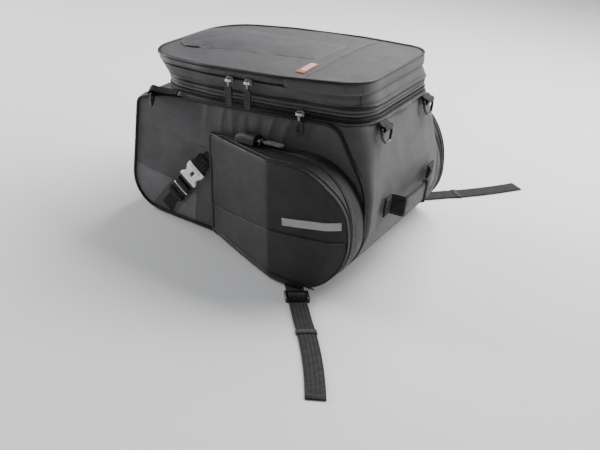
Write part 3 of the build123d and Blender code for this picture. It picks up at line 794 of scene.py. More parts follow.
edge = rounded(D_EDGE, D_RADII, 420)
middle = np.array([-20.0, 98.0])
dice = random.Random(12)
gathers = [
    (x + dice.uniform(-4, 4), dice.uniform(-0.25, 0.25), dice.uniform(3.2, 6.5), dice.uniform(-1.9, 2.3))
           for x in range(-92, 104, 13)]
puff = noise_field(21, 44)


def top_edge(x):
    """Height of the D panel's top edge."""
    return np.interp(x, [-205, -166, 118, 150, 175], [171, 185.5, 221, 205, 150])


def panel_rise(x, z, share):
    """How far the side panel stands out (mm). share is 0 in the middle and 1 at the edge."""
    x, z = np.asarray(x, float), np.asarray(z, float)
    drop = np.clip(top_edge(x) - z, 0, None)
    off = np.abs((x - STRAP_TOP[0]) * strap_cross[0] + (z - STRAP_TOP[2]) * strap_cross[2])
    free = 1 - 0.92 * np.exp(-(off / 26) ** 2) * (z < 130)
    rise = 3.2 * (1 - share ** 6) * free
    rise = rise + 0.9 * puff(np.stack([x, 0 * x, z], -1)) * (1 - share ** 8) * free
    fold = 0 * x
    for place, slant, width, height in gathers:
        fold = fold + height * np.exp(-((x - place - slant * drop) / width) ** 2)
    fold = fold * np.exp(-(drop / 34) ** 2) * (1 - np.exp(-drop / 5))
    return rise + fold * (share < 0.999)


shares = np.concatenate([np.linspace(0, 0.9, 46), np.linspace(0.915, 1.0, 12)])
panel = np.zeros((len(shares), len(edge), 3))
for k, share in enumerate(shares):
    flat = middle + (edge - middle) * share
    panel[k, :, 0] = flat[:, 0]
    panel[k, :, 2] = flat[:, 1]
    panel[k, :, 1] = PANEL_Y - panel_rise(flat[:, 0], flat[:, 1], share)
for side, mirror in SIDES:
    loft(f"side_panel_cover_{side}", panel, SHELL, "bag", "shell_fabric", mirror=mirror, thick=1.0)

# lighter lower panel of the side, sewn over the main panel behind the pocket
LOWER_LINE = [(-209, 68), (-136, 61), (-56, 43)]
lower = []
low_x = np.linspace(-206.5, -91, 90)
line_z = np.interp(low_x, [p[0] for p in LOWER_LINE], [p[1] for p in LOWER_LINE])
d_low = np.array([min(e[1] for e in edge[np.abs(edge[:, 0] - x) < 4.5]) for x in low_x]) + 0.5
edge_turn = np.arctan2(*(edge - middle).T[::-1])
edge_reach = np.linalg.norm(edge - middle, axis=1)
for f in np.linspace(0, 1, 40):
    z = d_low + (line_z - d_low) * f
    ray = np.column_stack([low_x, z]) - middle
    reach = np.interp(np.arctan2(ray[:, 1], ray[:, 0]), edge_turn, edge_reach, period=2 * pi)
    share = np.clip(np.linalg.norm(ray, axis=1) / reach, 0, 1)
    beside = np.abs((low_x - STRAP_TOP[0]) * strap_cross[0] + (z - STRAP_TOP[2]) * strap_cross[2])
    y = PANEL_Y - panel_rise(low_x, z, share) - 1.12 + 1.3 * np.exp(-(beside / 15) ** 4)
    lower.append(np.column_stack([low_x, y, z]))
lower = np.array(lower)
for side, mirror in SIDES:
    loft(
        f"side_lower_panel_{side}", lower, SHELL_LIGHT, "bag", "shell_fabric", closed=False, mirror=mirror,
        thick=0.8,
    )
    stitches(
        f"side_lower_seam_{side}", lower[-3] - LEFT * 0.3, -LEFT, "bag", "shell_fabric", pitch=3.3,
        radius=0.26,
        mirror=mirror,
    )

piping_loop = np.column_stack([edge[:, 0], np.full(len(edge), -HALF_WIDTH - 2.1), edge[:, 1]])
piping_in = np.column_stack([
    *(middle + (edge - middle) * 0.965).T[:1], np.full(len(edge), 0.0),
    (middle + (edge - middle) * 0.965)[:, 1],
])
piping_in[:, 1] = PANEL_Y - panel_rise(piping_in[:, 0], piping_in[:, 2], 0.965) - 0.1
for side, mirror in SIDES:
    tube(
        f"edge_piping_bead_{side}", piping_loop, 2.3, -LEFT, PIPING, "bag", "piping", closed=True,
        hides=(f"edge_piping_{side}",), mirror=mirror,
    )
    stitches(
        f"edge_piping_seam_{side}", piping_in, -LEFT, "bag", "piping", closed=True, pitch=3.6, radius=0.24,
        mirror=mirror,
    )

# ---------------------------------------------------------------- neck: zip, pleats and collar

LOOP = 420
neck_loop = plan_loop(NECK_PLAN, NECK_RADII, LOOP)
collar_loop = plan_loop(COLLAR_PLAN, LID_RADII, LOOP)
lid_loop = plan_loop(LID_PLAN, LID_RADII, LOOP)
cloth_ripple = noise_field(31, 30)


def band_ring(loop, w, offset):
    """Ring of world points on an outline, at height w and moved outwards. One number or one per point."""
    moved = loop + loop_normals(loop) * np.reshape(offset, (-1, 1) if np.ndim(offset) else ())
    return lid_point(moved[:, 0], moved[:, 1], w)


def band(steps, loop=neck_loop, other=None, low=0.0, high=1.0, wave=0.0):
    """Rings from (w, offset) steps. With other, loop changes to other between low and high."""
    made = []
    for w, offset in steps:
        mix = 0.0 if other is None else float(np.clip((w - low) / (high - low), 0, 1))
        line = loop if other is None else loop * (1 - mix) + other * mix
        extra = wave * cloth_ripple(lid_point(line[:, 0], line[:, 1], w * 3.0)) if wave else 0.0
        made.append(band_ring(line, w, offset + extra + np.zeros(LOOP)))
    return np.array(made)


def closed_tube(name, loop, w, offset, radius, material, body, slot, **options):
    return tube(
        name, band_ring(loop, w, offset), radius, OUT, material, body, slot, closed=True, sides=10,
        **options
    )


closed_tube("body_seam_bead", neck_loop, SEAM_W + 0.3, 1.6, 1.5, SHELL, "bag", "shell_fabric")
closed_tube("body_seam_shadow", neck_loop, SEAM_W + 2.0, 1.4, 0.7, PIPING, "bag", "piping")
loft(
    "expansion_zip_lower_tape",
    band(
        [(-54.6, -1.0), (-54.4, 1.0), (-53.0, 1.5), (-51.6, 1.3), (-50.6, 0.5), (-50.3, -0.6), (-50.2, -2.0)],
        wave=0.15
    ),
    TAPE, "bag", "zip_tape", hides=("expansion_zip",), thick=0.8,
)
zip_coil(
    "expansion_zip_coil", band_ring(neck_loop, -49.4, -0.6), outward_of(neck_loop), "bag", "zip_tape",
    width=2.6, closed=True,
)
loft(
    "expansion_zip_upper_tape",
    band(
        [(-48.6, -2.0), (-48.5, -0.6), (-48.1, 0.5), (-47.2, 1.4), (-46.0, 1.5), (-45.6, 0.6), (-45.5, -1.5)],
        wave=0.15
    ),
    TAPE, "bag", "zip_tape", thick=0.8,
)
pleats = [
    (-46.4, -3.4), (-45.0, -2.4), (-43.6, -0.6), (-42.4, 0.5), (-41.3, 0.4), (-40.3, -1.2), (-39.6, -2.4),
          (-38.9, -1.2), (-37.8, 0.6), (-36.6, 0.9), (-35.4, 0.3), (-34.4, -1.2), (-33.6, -2.2),
          (-32.4, -2.6), (-29.6, -3.4)]
gusset = loft(
    "expansion_gusset_pleats", band(pleats, wave=0.5), SHELL, None, "shell_fabric",
    hides=("expansion_gusset",),
    thick=0.8,
)
tuple(lid_point(0, 0, -46.0) * MM)
tuple(lid_point(0, 0, -30.0) * MM)
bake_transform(gusset)

COLLAR_W = (-31.0, -12.6)
collar_steps = [
    (-30.6, -2.6), (-31.2, -0.6), (-31.0, 1.0), (-30.0, 1.7), (-28.8, 1.5), (-27.9, 0.9), (-27.3, 0.9),
                (-26.2, 1.6), (-24, 2.0), (-21.5, 2.0), (-19, 1.5), (-17, 1.2), (-15.3, 1.3), (-14, 1.5),
                (-13.1, 1.2),
                (-12.5, 0.2), (-12.4, -1.4), (-12.5, -3.5)]
collar = band(collar_steps, neck_loop, collar_loop, *COLLAR_W, wave=0.8)
loft("collar_cover", collar, SHELL, "collar", "shell_fabric", hides=("collar_band",), thick=1.2)
closed_tube("collar_lower_binding", neck_loop, -30.7, 1.4, 0.9, PIPING, "collar", "piping")
seam_line = band([(-27.6, 1.25)], neck_loop, collar_loop, *COLLAR_W, wave=0.8)[0]
outward = outward_of(neck_loop)
stitches("collar_seam", seam_line, outward, "collar", "shell_fabric", closed=True, pitch=3.4, radius=0.24)
loft(
    "main_zip_lower_tape",
    band(
        [(-12.6, -4.6), (-12.5, -1.2), (-12.3, -0.4), (-11.9, -0.5), (-11.7, -1.4), (-11.7, -4.6)],
        collar_loop
    ),
    TAPE, "collar", "zip_tape", hides=("main_zip_lower",), thick=0.5,
)
zip_coil(
    "main_zip_coil", band_ring(collar_loop, -11.5, -1.9), outward, "collar", "zip_tape", width=1.7,
    closed=True
)
loft(
    "main_zip_upper_tape",
    band(
        [(-10.6, -4.6), (-10.6, -1.4), (-10.4, -0.5), (-10.0, -0.4), (-9.8, -1.2), (-9.7, -4.6)],
        collar_loop
    ),
    TAPE, "lid", "zip_tape", hides=("main_zip_upper",), thick=0.5,
)

# ---------------------------------------------------------------- lid

LID_CENTRE = np.array([-88.0, 0.0])


def dome(u, v):
    """Height of the lid's top panel: crowned, and dipping a little along its seams."""
    spread = ((u - LID_CENTRE[0]) / 178) ** 2 + (v / 126) ** 2
    height = 1.4 + 5.2 * np.clip(1 - spread ** 1.6, 0, 1)
    height = height - 1.3 * np.exp(-((u - cross_seam_u(v)) / 3.2) ** 2)
    return height + 0.45 * cloth_ripple(np.stack([u, v, 0 * u], -1))


def cross_seam_u(v):
    """The seam across the lid, bowed a little forward in the middle."""
    return 2.0 - 2.5 * (np.asarray(v, float) / 110) ** 2


sides = [
    (-9.3, -3.2), (-9.5, -1.2), (-9.3, 0.0), (-8.6, 0.9), (-7.0, 1.5), (-5.0, 1.7), (-3.0, 1.5),
    (-1.2, 0.9), (0.2, 0.0)
]
lid_rings = list(band(sides, lid_loop, wave=0.35))
for share in np.concatenate([[0.992, 0.982, 0.97, 0.955], np.linspace(0.94, 0.02, 44)]):
    flat = LID_CENTRE + (lid_loop - LID_CENTRE) * share
    rise = min((1 - share) / 0.03, 1.0)
    w = 0.6 + (dome(flat[:, 0], flat[:, 1]) - 0.6) * rise
    lid_rings.append(lid_point(flat[:, 0], flat[:, 1], w))
loft("lid_cover", lid_rings, TOP, "lid", "shell_fabric", caps=(False, True), hides=("lid_shell",), thick=1.4)
tube(
    "lid_piping_bead", band_ring(lid_loop, 0.7, 1.5), 2.0, OUT, PIPING, "lid", "piping", closed=True,
    hides=("lid_piping",),
)
outward_lid = outward_of(lid_loop)
rim = LID_CENTRE + (lid_loop - LID_CENTRE) * 0.965
rim_line = lid_point(rim[:, 0], rim[:, 1], dome(rim[:, 0], rim[:, 1]))
# flap that hides the zip from the sliders round the front
flap_part = np.flatnonzero(lid_loop[:, 0] > -22)
flap_steps = [
    (-0.6, 0.8), (-2.0, 1.9), (-5.0, 2.5), (-8.5, 2.6), (-11.5, 2.4), (-13.8, 2.0), (-14.6, 1.4),
    (-14.4, 0.6)
]
flap_end = np.minimum(np.arange(len(flap_part)), np.arange(len(flap_part))[::-1])
flap_taper = np.clip(flap_end / 16, 0, 1) ** 0.5
flap_rings = []
for w, offset in flap_steps:
    level = np.where(w < -9.2, -9.2 + (w + 9.2) * flap_taper, w)
    out = np.zeros(LOOP)
    out[flap_part] = 1.0 + (offset - 1.0) * flap_taper
    at = np.full(LOOP, w, float)
    at[flap_part] = level
    ring = band_ring(
        lid_loop, at, out + 0.3 * cloth_ripple(lid_point(lid_loop[:, 0], lid_loop[:, 1], w * 2.0))
    )
    flap_rings.append(ring[flap_part])
flap_rings = np.array(flap_rings)
loft("lid_zip_flap", flap_rings, SHELL, "lid", "shell_fabric", closed=False, thick=0.8)
stitches(
    "lid_zip_flap_seam", flap_rings[1] + OUT * 0.2, outward_lid[flap_part], "lid", "shell_fabric",
    pitch=3.3, radius=0.22
)

stitches("lid_rim_seam", rim_line, OUT, "lid", "shell_fabric", closed=True, pitch=3.4, radius=0.22)

cross_v = np.linspace(-101, 101, 90)
cross_line = lid_point(cross_seam_u(cross_v), cross_v, dome(cross_seam_u(cross_v), cross_v) - 0.05)
tube("lid_cross_seam", cross_line, 0.75, OUT, PIPING, "lid", "piping", sides=8)
cross_fore = lid_point(
    cross_seam_u(cross_v) + 3.0, cross_v, dome(cross_seam_u(cross_v) + 3.0, cross_v) + 0.05
)
stitches("lid_cross_stitching", cross_fore, OUT, "lid", "shell_fabric", pitch=3.2, radius=0.24)

for side, mirror in SIDES:
    band_side = band(sides[1:], lid_loop, wave=0.35)
    corner_index = int(np.argmin(np.abs(lid_loop[:, 0] - 78) + 100 * (lid_loop[:, 1] > 0)))
    flap_place = int(np.flatnonzero(flap_part == corner_index)[0])
    column = np.vstack([flap_rings[:-1, flap_place][::-1], band_side[-1:, corner_index]])
    column = column + outward_lid[corner_index] * 0.35
    low_column = collar[3:15, corner_index] + outward[corner_index] * 0.3
    tube(f"collar_corner_seam_{side}", resample(low_column, 20), 0.6, outward[corner_index], PIPING, "collar",
         "piping", sides=8, mirror=mirror)
    tube(
        f"lid_corner_seam_{side}", resample(column, 20), 0.6, outward_lid[corner_index], PIPING, "lid",
        "piping",
         sides=8, mirror=mirror)

# ---------------------------------------------------------------- padded centre panel of the lid

PAD_PLAN = [(-14, 47), (-90, 56), (-254, 66)]
PAD_RADII = [5, 60, 42]
PAD_LOW_W = 1.9
PAD_HIGH_W = 9.6


def pad_shape(loop, low, high, crown):
    """Closed cushion on an outline: rolled edge, crowned top."""
    centre = np.array([-135.0, 0.0])
    rings = []
    for w, offset in (
        (low, -2.5), (low + 0.2, -0.8), (low + (high - low) * 0.45, 0.0), (high - 1.2, -0.5),
        (high - 0.3, -1.6)
    ):
        rings.append(band_ring(loop, w, offset))
    inner = loop + loop_normals(loop) * -2.8
    for share in np.linspace(1.0, 0.03, 30):
        flat = centre + (inner - centre) * share
        rings.append(lid_point(flat[:, 0], flat[:, 1], high + crown * (1 - share ** 2)))
    return np.array(rings)


def swell(piece, pressure, limit, voxel=0.0055, pin_below=None, frames=20):
    """Inflates a closed cushion with cloth simulation and keeps the result."""
    shape = piece.modifiers.new("remesh", "REMESH")
    shape.mode = "VOXEL"
    shape.voxel_size = voxel
    shape.use_smooth_shade = True
    graph = bpy.context.evaluated_depsgraph_get()
    mesh = bpy.data.meshes.new_from_object(piece.evaluated_get(graph))
    mesh.materials.clear()
    mesh.materials.append(piece.data.materials[0])
    piece.modifiers.clear()
    piece.data = mesh
    start = np.array([v.co[:] for v in mesh.vertices])
    if pin_below is not None:
        group = piece.vertex_groups.new(name="held")
        height = (start / MM - LID_ORIGIN) @ OUT
        group.add([int(i) for i in np.nonzero(height < pin_below)[0]], 1.0, "ADD")
    cloth = piece.modifiers.new("cloth", "CLOTH")
    cloth.settings.quality = 6
    cloth.settings.mass = 0.3
    cloth.settings.tension_stiffness = 14
    cloth.settings.bending_stiffness = 1.5
    cloth.settings.use_pressure = True
    cloth.settings.uniform_pressure_force = pressure
    cloth.settings.effector_weights.gravity = 0
    if pin_below is not None:
        cloth.settings.vertex_group_mass = "held"
    scene = bpy.context.scene
    for step in range(1, frames + 1):
        scene.frame_set(step)
    graph = bpy.context.evaluated_depsgraph_get()
    done = bpy.data.meshes.new_from_object(piece.evaluated_get(graph))
    end = np.array([v.co[:] for v in done.vertices])
    scene.frame_set(1)
    piece.modifiers.clear()
    bpy.data.meshes.remove(done)
    move = end - start
    size = np.linalg.norm(move, axis=1)
    move *= (np.minimum(size, limit * MM) / np.maximum(size, 1e-9))[:, None]
    mesh.vertices.foreach_set("co", (start + move).ravel())
    mesh.update()
    mesh.polygons.foreach_set("use_smooth", [True] * len(mesh.polygons))


pad_loop = plan_loop(PAD_PLAN, PAD_RADII, 260)
pad = loft(
    "lid_centre_pad", pad_shape(pad_loop, PAD_LOW_W, PAD_HIGH_W - 2.2, 2.4), PAD, None, "pad_fabric",
    caps=(True, True)
)
swell(pad, 4.0, 5.0, voxel=0.0045, pin_below=PAD_LOW_W + 1.4)
refine = pad.modifiers.new("refine", "SUBSURF")
refine.levels = refine.render_levels = 1
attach(pad, "lid")
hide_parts("lid_pad")

# ---------------------------------------------------------------- label on the lid's edge


def label(name, u_range, v_range, lift, material, slot, hides=()):
    """Thin woven label lying on the lid's top."""
    u, v = np.meshgrid(np.linspace(*u_range, 9), np.linspace(*v_range, 26), indexing="ij")
    w = dome(u, v) + lift + 1.5 * np.exp(-((u - 2) / 3.2) ** 2)
    return loft(name, lid_point(u, v, w), material, "lid", slot, closed=False, thick=0.6, hides=hides)


label("lid_label_red", (-4.5, -17.5), (-101, -61), 1.0, TAG_RED, "tag_red", hides=("lid_tag",))
label("lid_label_band", (-6.5, -15.5), (-93, -63), 1.25, TAG_PALE, "tag_red")

# ---------------------------------------------------------------- inside: lining, boards, foam, mat

INSIDE = {
    "liner": LINING, "lid_board": BOARD, "base_board": BOARD, "side_foams": FOAM, "base_mat": MATTING,
}
for node, material in INSIDE.items():
    NODES[node].data.materials.clear()
    NODES[node].data.materials.append(material)

# ---------------------------------------------------------------- side pockets

POCKET_FACE = [(-145, -251), (97, -279), (97, -97), (-145, -97)]
POCKET_RADII = [10, 76, 84, 7]
HINGE_U, HINGE_V, SPLIT_END_V = -146.0, -120.5, -150.0
SILL = 8.0
FACE_EDGE = 2.6                 # radius of the rolled edge round the face


def wedge_v(u):
    """Sideways position of the pocket's outer face, its ridge softly rounded."""
    u = np.asarray(u, float)
    spots = [np.interp(u + d, [-170, -146, -17, 70, 99, 120], [-111, -121.5, -178, -176, -164, -152])
             for d in np.linspace(-2.5, 2.5, 9)]
    puffed = -1.6 * np.sin(
        np.clip((u + 143) / 124, 0, 1) * pi
    ) - 1.0 * np.sin(np.clip((u + 14) / 80, 0, 1) * pi)
    return np.mean(spots, axis=0) + puffed


def split_v(u):
    """Sideways position of the pocket's zip line."""
    return HINGE_V + (SPLIT_END_V - HINGE_V) * (np.asarray(u, float) - HINGE_U) / (100 - HINGE_U)


def sill_w(u):
    """Lower edge of the pocket's door."""
    return -251 + (np.asarray(u, float) + 145) * (-28 / 242) + SILL


def seam_w(u):
    """Seam across the face."""
    return np.interp(u, [-146, -17, 99], [-206, -193.5, -192])


whole = rounded(POCKET_FACE, POCKET_RADII, 1600)
inner = whole - loop_normals(whole) * FACE_EDGE
spread = (1 - np.cos(np.linspace(0, pi, 97))) / 2
spread = 0.55 * spread + 0.45 * np.linspace(0, 1, 97)
face_u = inner[:, 0].min() + 0.05 + (inner[:, 0].max() - inner[:, 0].min() - 0.1) * spread


def outline_heights(u):
    """Lowest and highest point of the face's outline at u."""
    after = np.roll(inner, -1, 0)
    low, high = [], []
    for place in np.atleast_1d(u):
        hit = (inner[:, 0] - place) * (after[:, 0] - place) <= 0
        a, b = inner[hit], after[hit]
        run = np.where(np.abs(b[:, 0] - a[:, 0]) < 1e-9, 1, b[:, 0] - a[:, 0])
        w = a[:, 1] + (b[:, 1] - a[:, 1]) * np.clip((place - a[:, 0]) / run, 0, 1)
        low.append(w.min())
        high.append(w.max())
    return np.array(low), np.array(high)


low_w, high_w = outline_heights(face_u)
marks = [low_w, np.clip(sill_w(face_u), low_w, high_w), np.clip(seam_w(face_u), low_w, high_w), high_w]
counts = [4, 26, 34]
rows = []
for low_mark, high_mark, count in zip(marks, marks[1:], counts):
    rows += [low_mark + (high_mark - low_mark) * f for f in np.arange(count) / count]
rows.append(high_w)
rows = np.array(rows)
n_rows, n_cols = rows.shape
crease = noise_field(44, 33)
U = np.broadcast_to(face_u, rows.shape)
face_v = wedge_v(U) + 0.5 * crease(np.stack([U, 0 * U, rows], -1))
face_points = lid_point(U, face_v, rows)

border = [(0, c) for c in range(n_cols)] + [(r, n_cols - 1) for r in range(1, n_rows)]
border += [(n_rows - 1, c) for c in range(n_cols - 2, -1, -1)] + [(r, 0) for r in range(n_rows - 2, 0, -1)]
border_uw = np.array([(face_u[c], rows[r, c]) for r, c in border])
nearest_out = np.array([np.argmin(np.linalg.norm(inner - q, axis=1)) for q in border_uw])
border_normal = loop_normals(whole)[nearest_out]
rim_uw = inner[nearest_out] + border_normal * FACE_EDGE


def wall_ring(v, offset):
    """Ring of the pocket's wall at sideways position v (one per point), moved outwards by offset."""
    uw = rim_uw + border_normal * np.reshape(offset, (-1, 1) if np.ndim(offset) else ())
    return lid_point(uw[:, 0], v, uw[:, 1])


rim_u = rim_uw[:, 0]
rim_v = wedge_v(rim_u)
zip_v = split_v(rim_u)
flutter = noise_field(52, 24)


def wall_wave(v):
    return flutter(lid_point(rim_uw[:, 0], v, rim_uw[:, 1]))


depth = np.maximum(zip_v - rim_v - FACE_EDGE, 0.3)
door_rings = []
for f, offset in (
    (0.0, -3.2), (0.0, -0.6), (0.03, 0.0), (0.12, 0.15), (0.3, 0.2), (0.5, 0.3), (0.75, 0.5), (1.0, 0.2)
):
    v = zip_v - 1.0 - (depth - 1.0) * f
    door_rings.append(wall_ring(v, offset + (0.25 * wall_wave(v) if 0.1 < f < 0.9 else 0.0)))
for turn in (0.25, 0.5, 0.75):
    a = turn * pi / 2
    v = rim_v + FACE_EDGE * (1 - sin(a))
    door_rings.append(wall_ring(v, -FACE_EDGE * (1 - cos(a))))
door_rings = np.array(door_rings)

verts = np.vstack([face_points.reshape(-1, 3), door_rings.reshape(-1, 3)])
uw_all = np.vstack([np.stack([U, rows], -1).reshape(-1, 2)] + [rim_uw] * len(door_rings))
n_border = len(border)
first = n_rows * n_cols
faces = grid_faces(n_rows, n_cols, closed=False)
faces += grid_faces(len(door_rings), n_border, True, first)
last = first + (len(door_rings) - 1) * n_border
for i in range(n_border):
    j = (i + 1) % n_border
    a, b = border[i], border[j]
    faces.append((last + i, last + j, b[0] * n_cols + b[1], a[0] * n_cols + a[1]))


def tidy(points, polys):
    """Drops unused points and folded-up faces."""
    kept = []
    for poly in polys:
        corners = points[list(poly)]
        area = np.linalg.norm(np.cross(corners[2] - corners[0], corners[3] - corners[1]))
        if area > 0.02:
            kept.append(poly)
    used = sorted({i for poly in kept for i in poly})
    place = {old: new for new, old in enumerate(used)}
    return points[used], [tuple(place[i] for i in poly) for poly in kept]


def below_sill(poly):
    u, w = uw_all[list(poly)].mean(0)
    return w < sill_w(u) - 0.05


def below_seam(poly):
    u, w = uw_all[list(poly)].mean(0)
    return w < seam_w(u) - 0.05


door_upper = [f for f in faces if not below_sill(f) and not below_seam(f)]
door_lower = [f for f in faces if not below_sill(f) and below_seam(f)]
sill_part = [f for f in faces if below_sill(f)]
# lower pocket face below the seam, and the sill: a separate panel; its colour is the pocket's painted-shade
# dark, made lighter as painted highlight of the lit lower rear facet
POCKET_LOW_PAINTED_HIGHLIGHT = cloth_material(
    "pocket_fabric_lower_painted_highlight", (0.02, 0.02, 0.0205), roughness=0.48, sheen=0.07, crumple=0.0007
)

gusset_rings = []
for f, offset in (
    (0.0, 1.6), (0.04, 1.4), (0.1, 0.6), (0.25, 0.9), (0.4, 1.5), (0.55, 1.9), (0.7, 1.7), (0.85, 1.0),
                  (0.95, 0.5), (1.0, -0.3), (1.0, -3.2)):
    v = -115.6 + (zip_v + 0.9 + 115.6) * f
    gusset_rings.append(wall_ring(v, offset + (1.0 * wall_wave(v) if 0.1 < f < 0.9 else 0.0)))
gusset_rings = np.array(gusset_rings)

seam_u = np.linspace(-143.5, 94.5, 120)
seam_path = lid_point(seam_u, wedge_v(seam_u) - 0.1, seam_w(seam_u))
stitch_path = lid_point(seam_u, wedge_v(seam_u) - 0.2, seam_w(seam_u) - 2.6)
sill_u = np.linspace(-142.5, 55.0, 110)
sill_path = lid_point(sill_u, wedge_v(sill_u) - 0.2, sill_w(sill_u))
face_edge_path = wall_ring(rim_v + FACE_EDGE * 0.55, -0.1)
back_v = np.minimum(rim_v + 9.5, zip_v - 2.0)
second_path = wall_ring(back_v, 0.7)
top_run = [i for i in range(n_border) if rim_uw[i, 1] > sill_w(rim_uw[i, 0]) + 1 and rim_uw[i, 0] > -144.0]
zip_path = wall_ring(zip_v, 0.2)[top_run]
wall_out = border_normal[:, :1] * FORWARD + border_normal[:, 1:] * OUT

for side, mirror in SIDES:
    door = f"pocket_door_{side}"
    # door face in the pocket fabric, darkened as painted shade
    points, polys = tidy(verts, door_upper)
    build(
        f"pocket_door_face_{side}", points, polys, POCKET_PAINTED_SHADE, door, "pocket_fabric", hides=(door,),
        mirror=mirror, thick=2.0
    )
    # lower face and sill below the seam: lighter copy of the pocket fabric as painted highlight
    points, polys = tidy(verts, door_lower)
    build(
        f"pocket_door_lower_face_{side}", points, polys, POCKET_LOW_PAINTED_HIGHLIGHT, door, "pocket_fabric", mirror=mirror,
        thick=2.0
    )
    points, polys = tidy(verts, sill_part)
    build(f"pocket_sill_{side}", points, polys, POCKET_LOW_PAINTED_HIGHLIGHT, "bag", "shell_fabric", mirror=mirror, thick=2.0)
    # the gusset wall takes the pocket fabric's painted shade
    loft(
        f"pocket_gusset_wall_{side}", gusset_rings, POCKET_PAINTED_SHADE, "bag", "shell_fabric", mirror=mirror, thick=1.4,
        hides=(f"pocket_gusset_{side}",),
    )
    tube(f"pocket_face_seam_{side}", seam_path, 0.55, -LEFT, PIPING, door, "piping", sides=8, mirror=mirror)
    stitches(
        f"pocket_face_stitching_{side}", stitch_path, -LEFT, door, "pocket_fabric", radius=0.24,
        mirror=mirror
    )
    tube(f"pocket_sill_bead_{side}", sill_path, 1.1, -LEFT, PIPING, "bag", "piping", sides=8, mirror=mirror)
    upper = [i for i in range(n_border) if rim_uw[i, 1] > sill_w(rim_uw[i, 0])]
    start = next(k for k, i in enumerate(upper) if k and upper[k - 1] != i - 1) if upper[0] == 0 else 0
    order = upper[start:] + upper[:start]
    tube(
        f"pocket_face_piping_{side}", face_edge_path[order], 1.5, -LEFT, PIPING, door, "piping",
        mirror=mirror
    )
    visible = [i for i in order if rim_uw[i, 0] > -132]
    tube(
        f"pocket_wall_bead_{side}", second_path[visible], 1.1, -LEFT, POCKET_PAINTED_SHADE, door, "piping", sides=8,
        mirror=mirror
    )
    zip_coil(
        f"pocket_zip_coil_{side}", zip_path, wall_out[top_run], "bag", "zip_tape", width=2.4, mirror=mirror
    )
    for shift, body, kind in ((1.9, "bag", "inner"), (-1.9, door, "outer")):
        tape = [wall_ring(zip_v + shift + d, o)[top_run] for d, o in ((-1.1, 0.2), (0, 0.75), (1.1, 0.9))]
        loft(
            f"pocket_zip_tape_{kind}_{side}", tape, TAPE, body, "zip_tape", closed=False, mirror=mirror,
            thick=0.5
        )
    foot = wall_ring(np.full(n_border, -117.6), 1.9)
    tube(
        f"pocket_foot_seam_{side}", foot, 0.8, -LEFT, PIPING, "bag", "piping", closed=True, sides=8,
        mirror=mirror
    )

STRIP = [(7, -171, -182), (90, -163.2, -174.6)]
strip_u = np.linspace(STRIP[0][0], STRIP[1][0], 40)
strip_top = np.interp(strip_u, [STRIP[0][0], STRIP[1][0]], [STRIP[0][1], STRIP[1][1]])
strip_low = np.interp(strip_u, [STRIP[0][0], STRIP[1][0]], [STRIP[0][2], STRIP[1][2]])
strip = []
for f in np.linspace(0, 1, 8):
    w = strip_low + (strip_top - strip_low) * f
    v = wedge_v(strip_u) + 0.5 * crease(np.stack([strip_u, 0 * strip_u, w], -1)) - 0.75
    strip.append(lid_point(strip_u, v, w))
strip = np.array(strip)
for side, mirror in SIDES:
    loft(
        f"reflective_strip_film_{side}", strip, REFLECT, f"pocket_door_{side}", "reflective", closed=False,
        hides=(f"reflective_strip_{side}",), mirror=mirror, thick=0.5,
    )

# zip garage: fabric arch over the slider, bound at its mouth
run = unit(FORWARD * (100 - HINGE_U) - LEFT * (HINGE_V - SPLIT_END_V))
across_run = unit(np.cross(OUT, run))
POCKET_TOP_W = -97.0
arch_corners = [(9.4, 0.6), (8.6, 11.8), (0.5, 13.9), (-8.2, 12.6), (-9.8, 1.4)]
arch = resample(rounded(arch_corners, [0, 4.5, 16, 4.5, 0], closed=False), 34)
arch_origin = lid_point(-88, split_v(-88), POCKET_TOP_W)
garage = []
for k, along in enumerate(np.linspace(-2.5, 30, 22)):
    droop = 0.7 * sin(along / 9.0) - 2.2 * exp(-((along + 2.5) / 7) ** 2)
    lift = arch[:, 1] * (1 + 0.03 * sin(along / 5)) + droop * arch[:, 1] / 13
    garage.append(arch_origin + run * along + across_run * arch[:, :1] + OUT * lift[:, None])
garage = np.array(garage)
for side, mirror in SIDES:
    loft(
        f"zip_garage_hood_{side}", garage, POCKET_PAINTED_SHADE, "bag", "shell_fabric", closed=False, mirror=mirror,
        thick=-1.2,
        hides=(f"zip_garage_{side}",),
    )
    tube(f"zip_garage_mouth_{side}", garage[-1], 1.0, run, PIPING, "bag", "piping", sides=8, mirror=mirror)
    tube(f"zip_garage_rear_seam_{side}", garage[1], 0.7, run, PIPING, "bag", "piping", sides=8, mirror=mirror)

# ---------------------------------------------------------------- sliders and pulls

PIN_LIFT = 6.8


def placed(plane, a, b, c):
    """World points (mm) of coordinates in a plane given as (origin, x, y, z)."""
    origin, x, y, z = (np.asarray(v, float) for v in plane)
    a, b, c = np.broadcast_arrays(np.asarray(a, float), np.asarray(b, float), np.asarray(c, float))
    return origin + a[..., None] * x + b[..., None] * y + c[..., None] * z


def turned(plane, shift=(0, 0, 0)):
    """The plane's y-z section seen along x, moved by a local shift."""
    _, x, y, z = plane
    return placed(plane, *shift), y, z, x


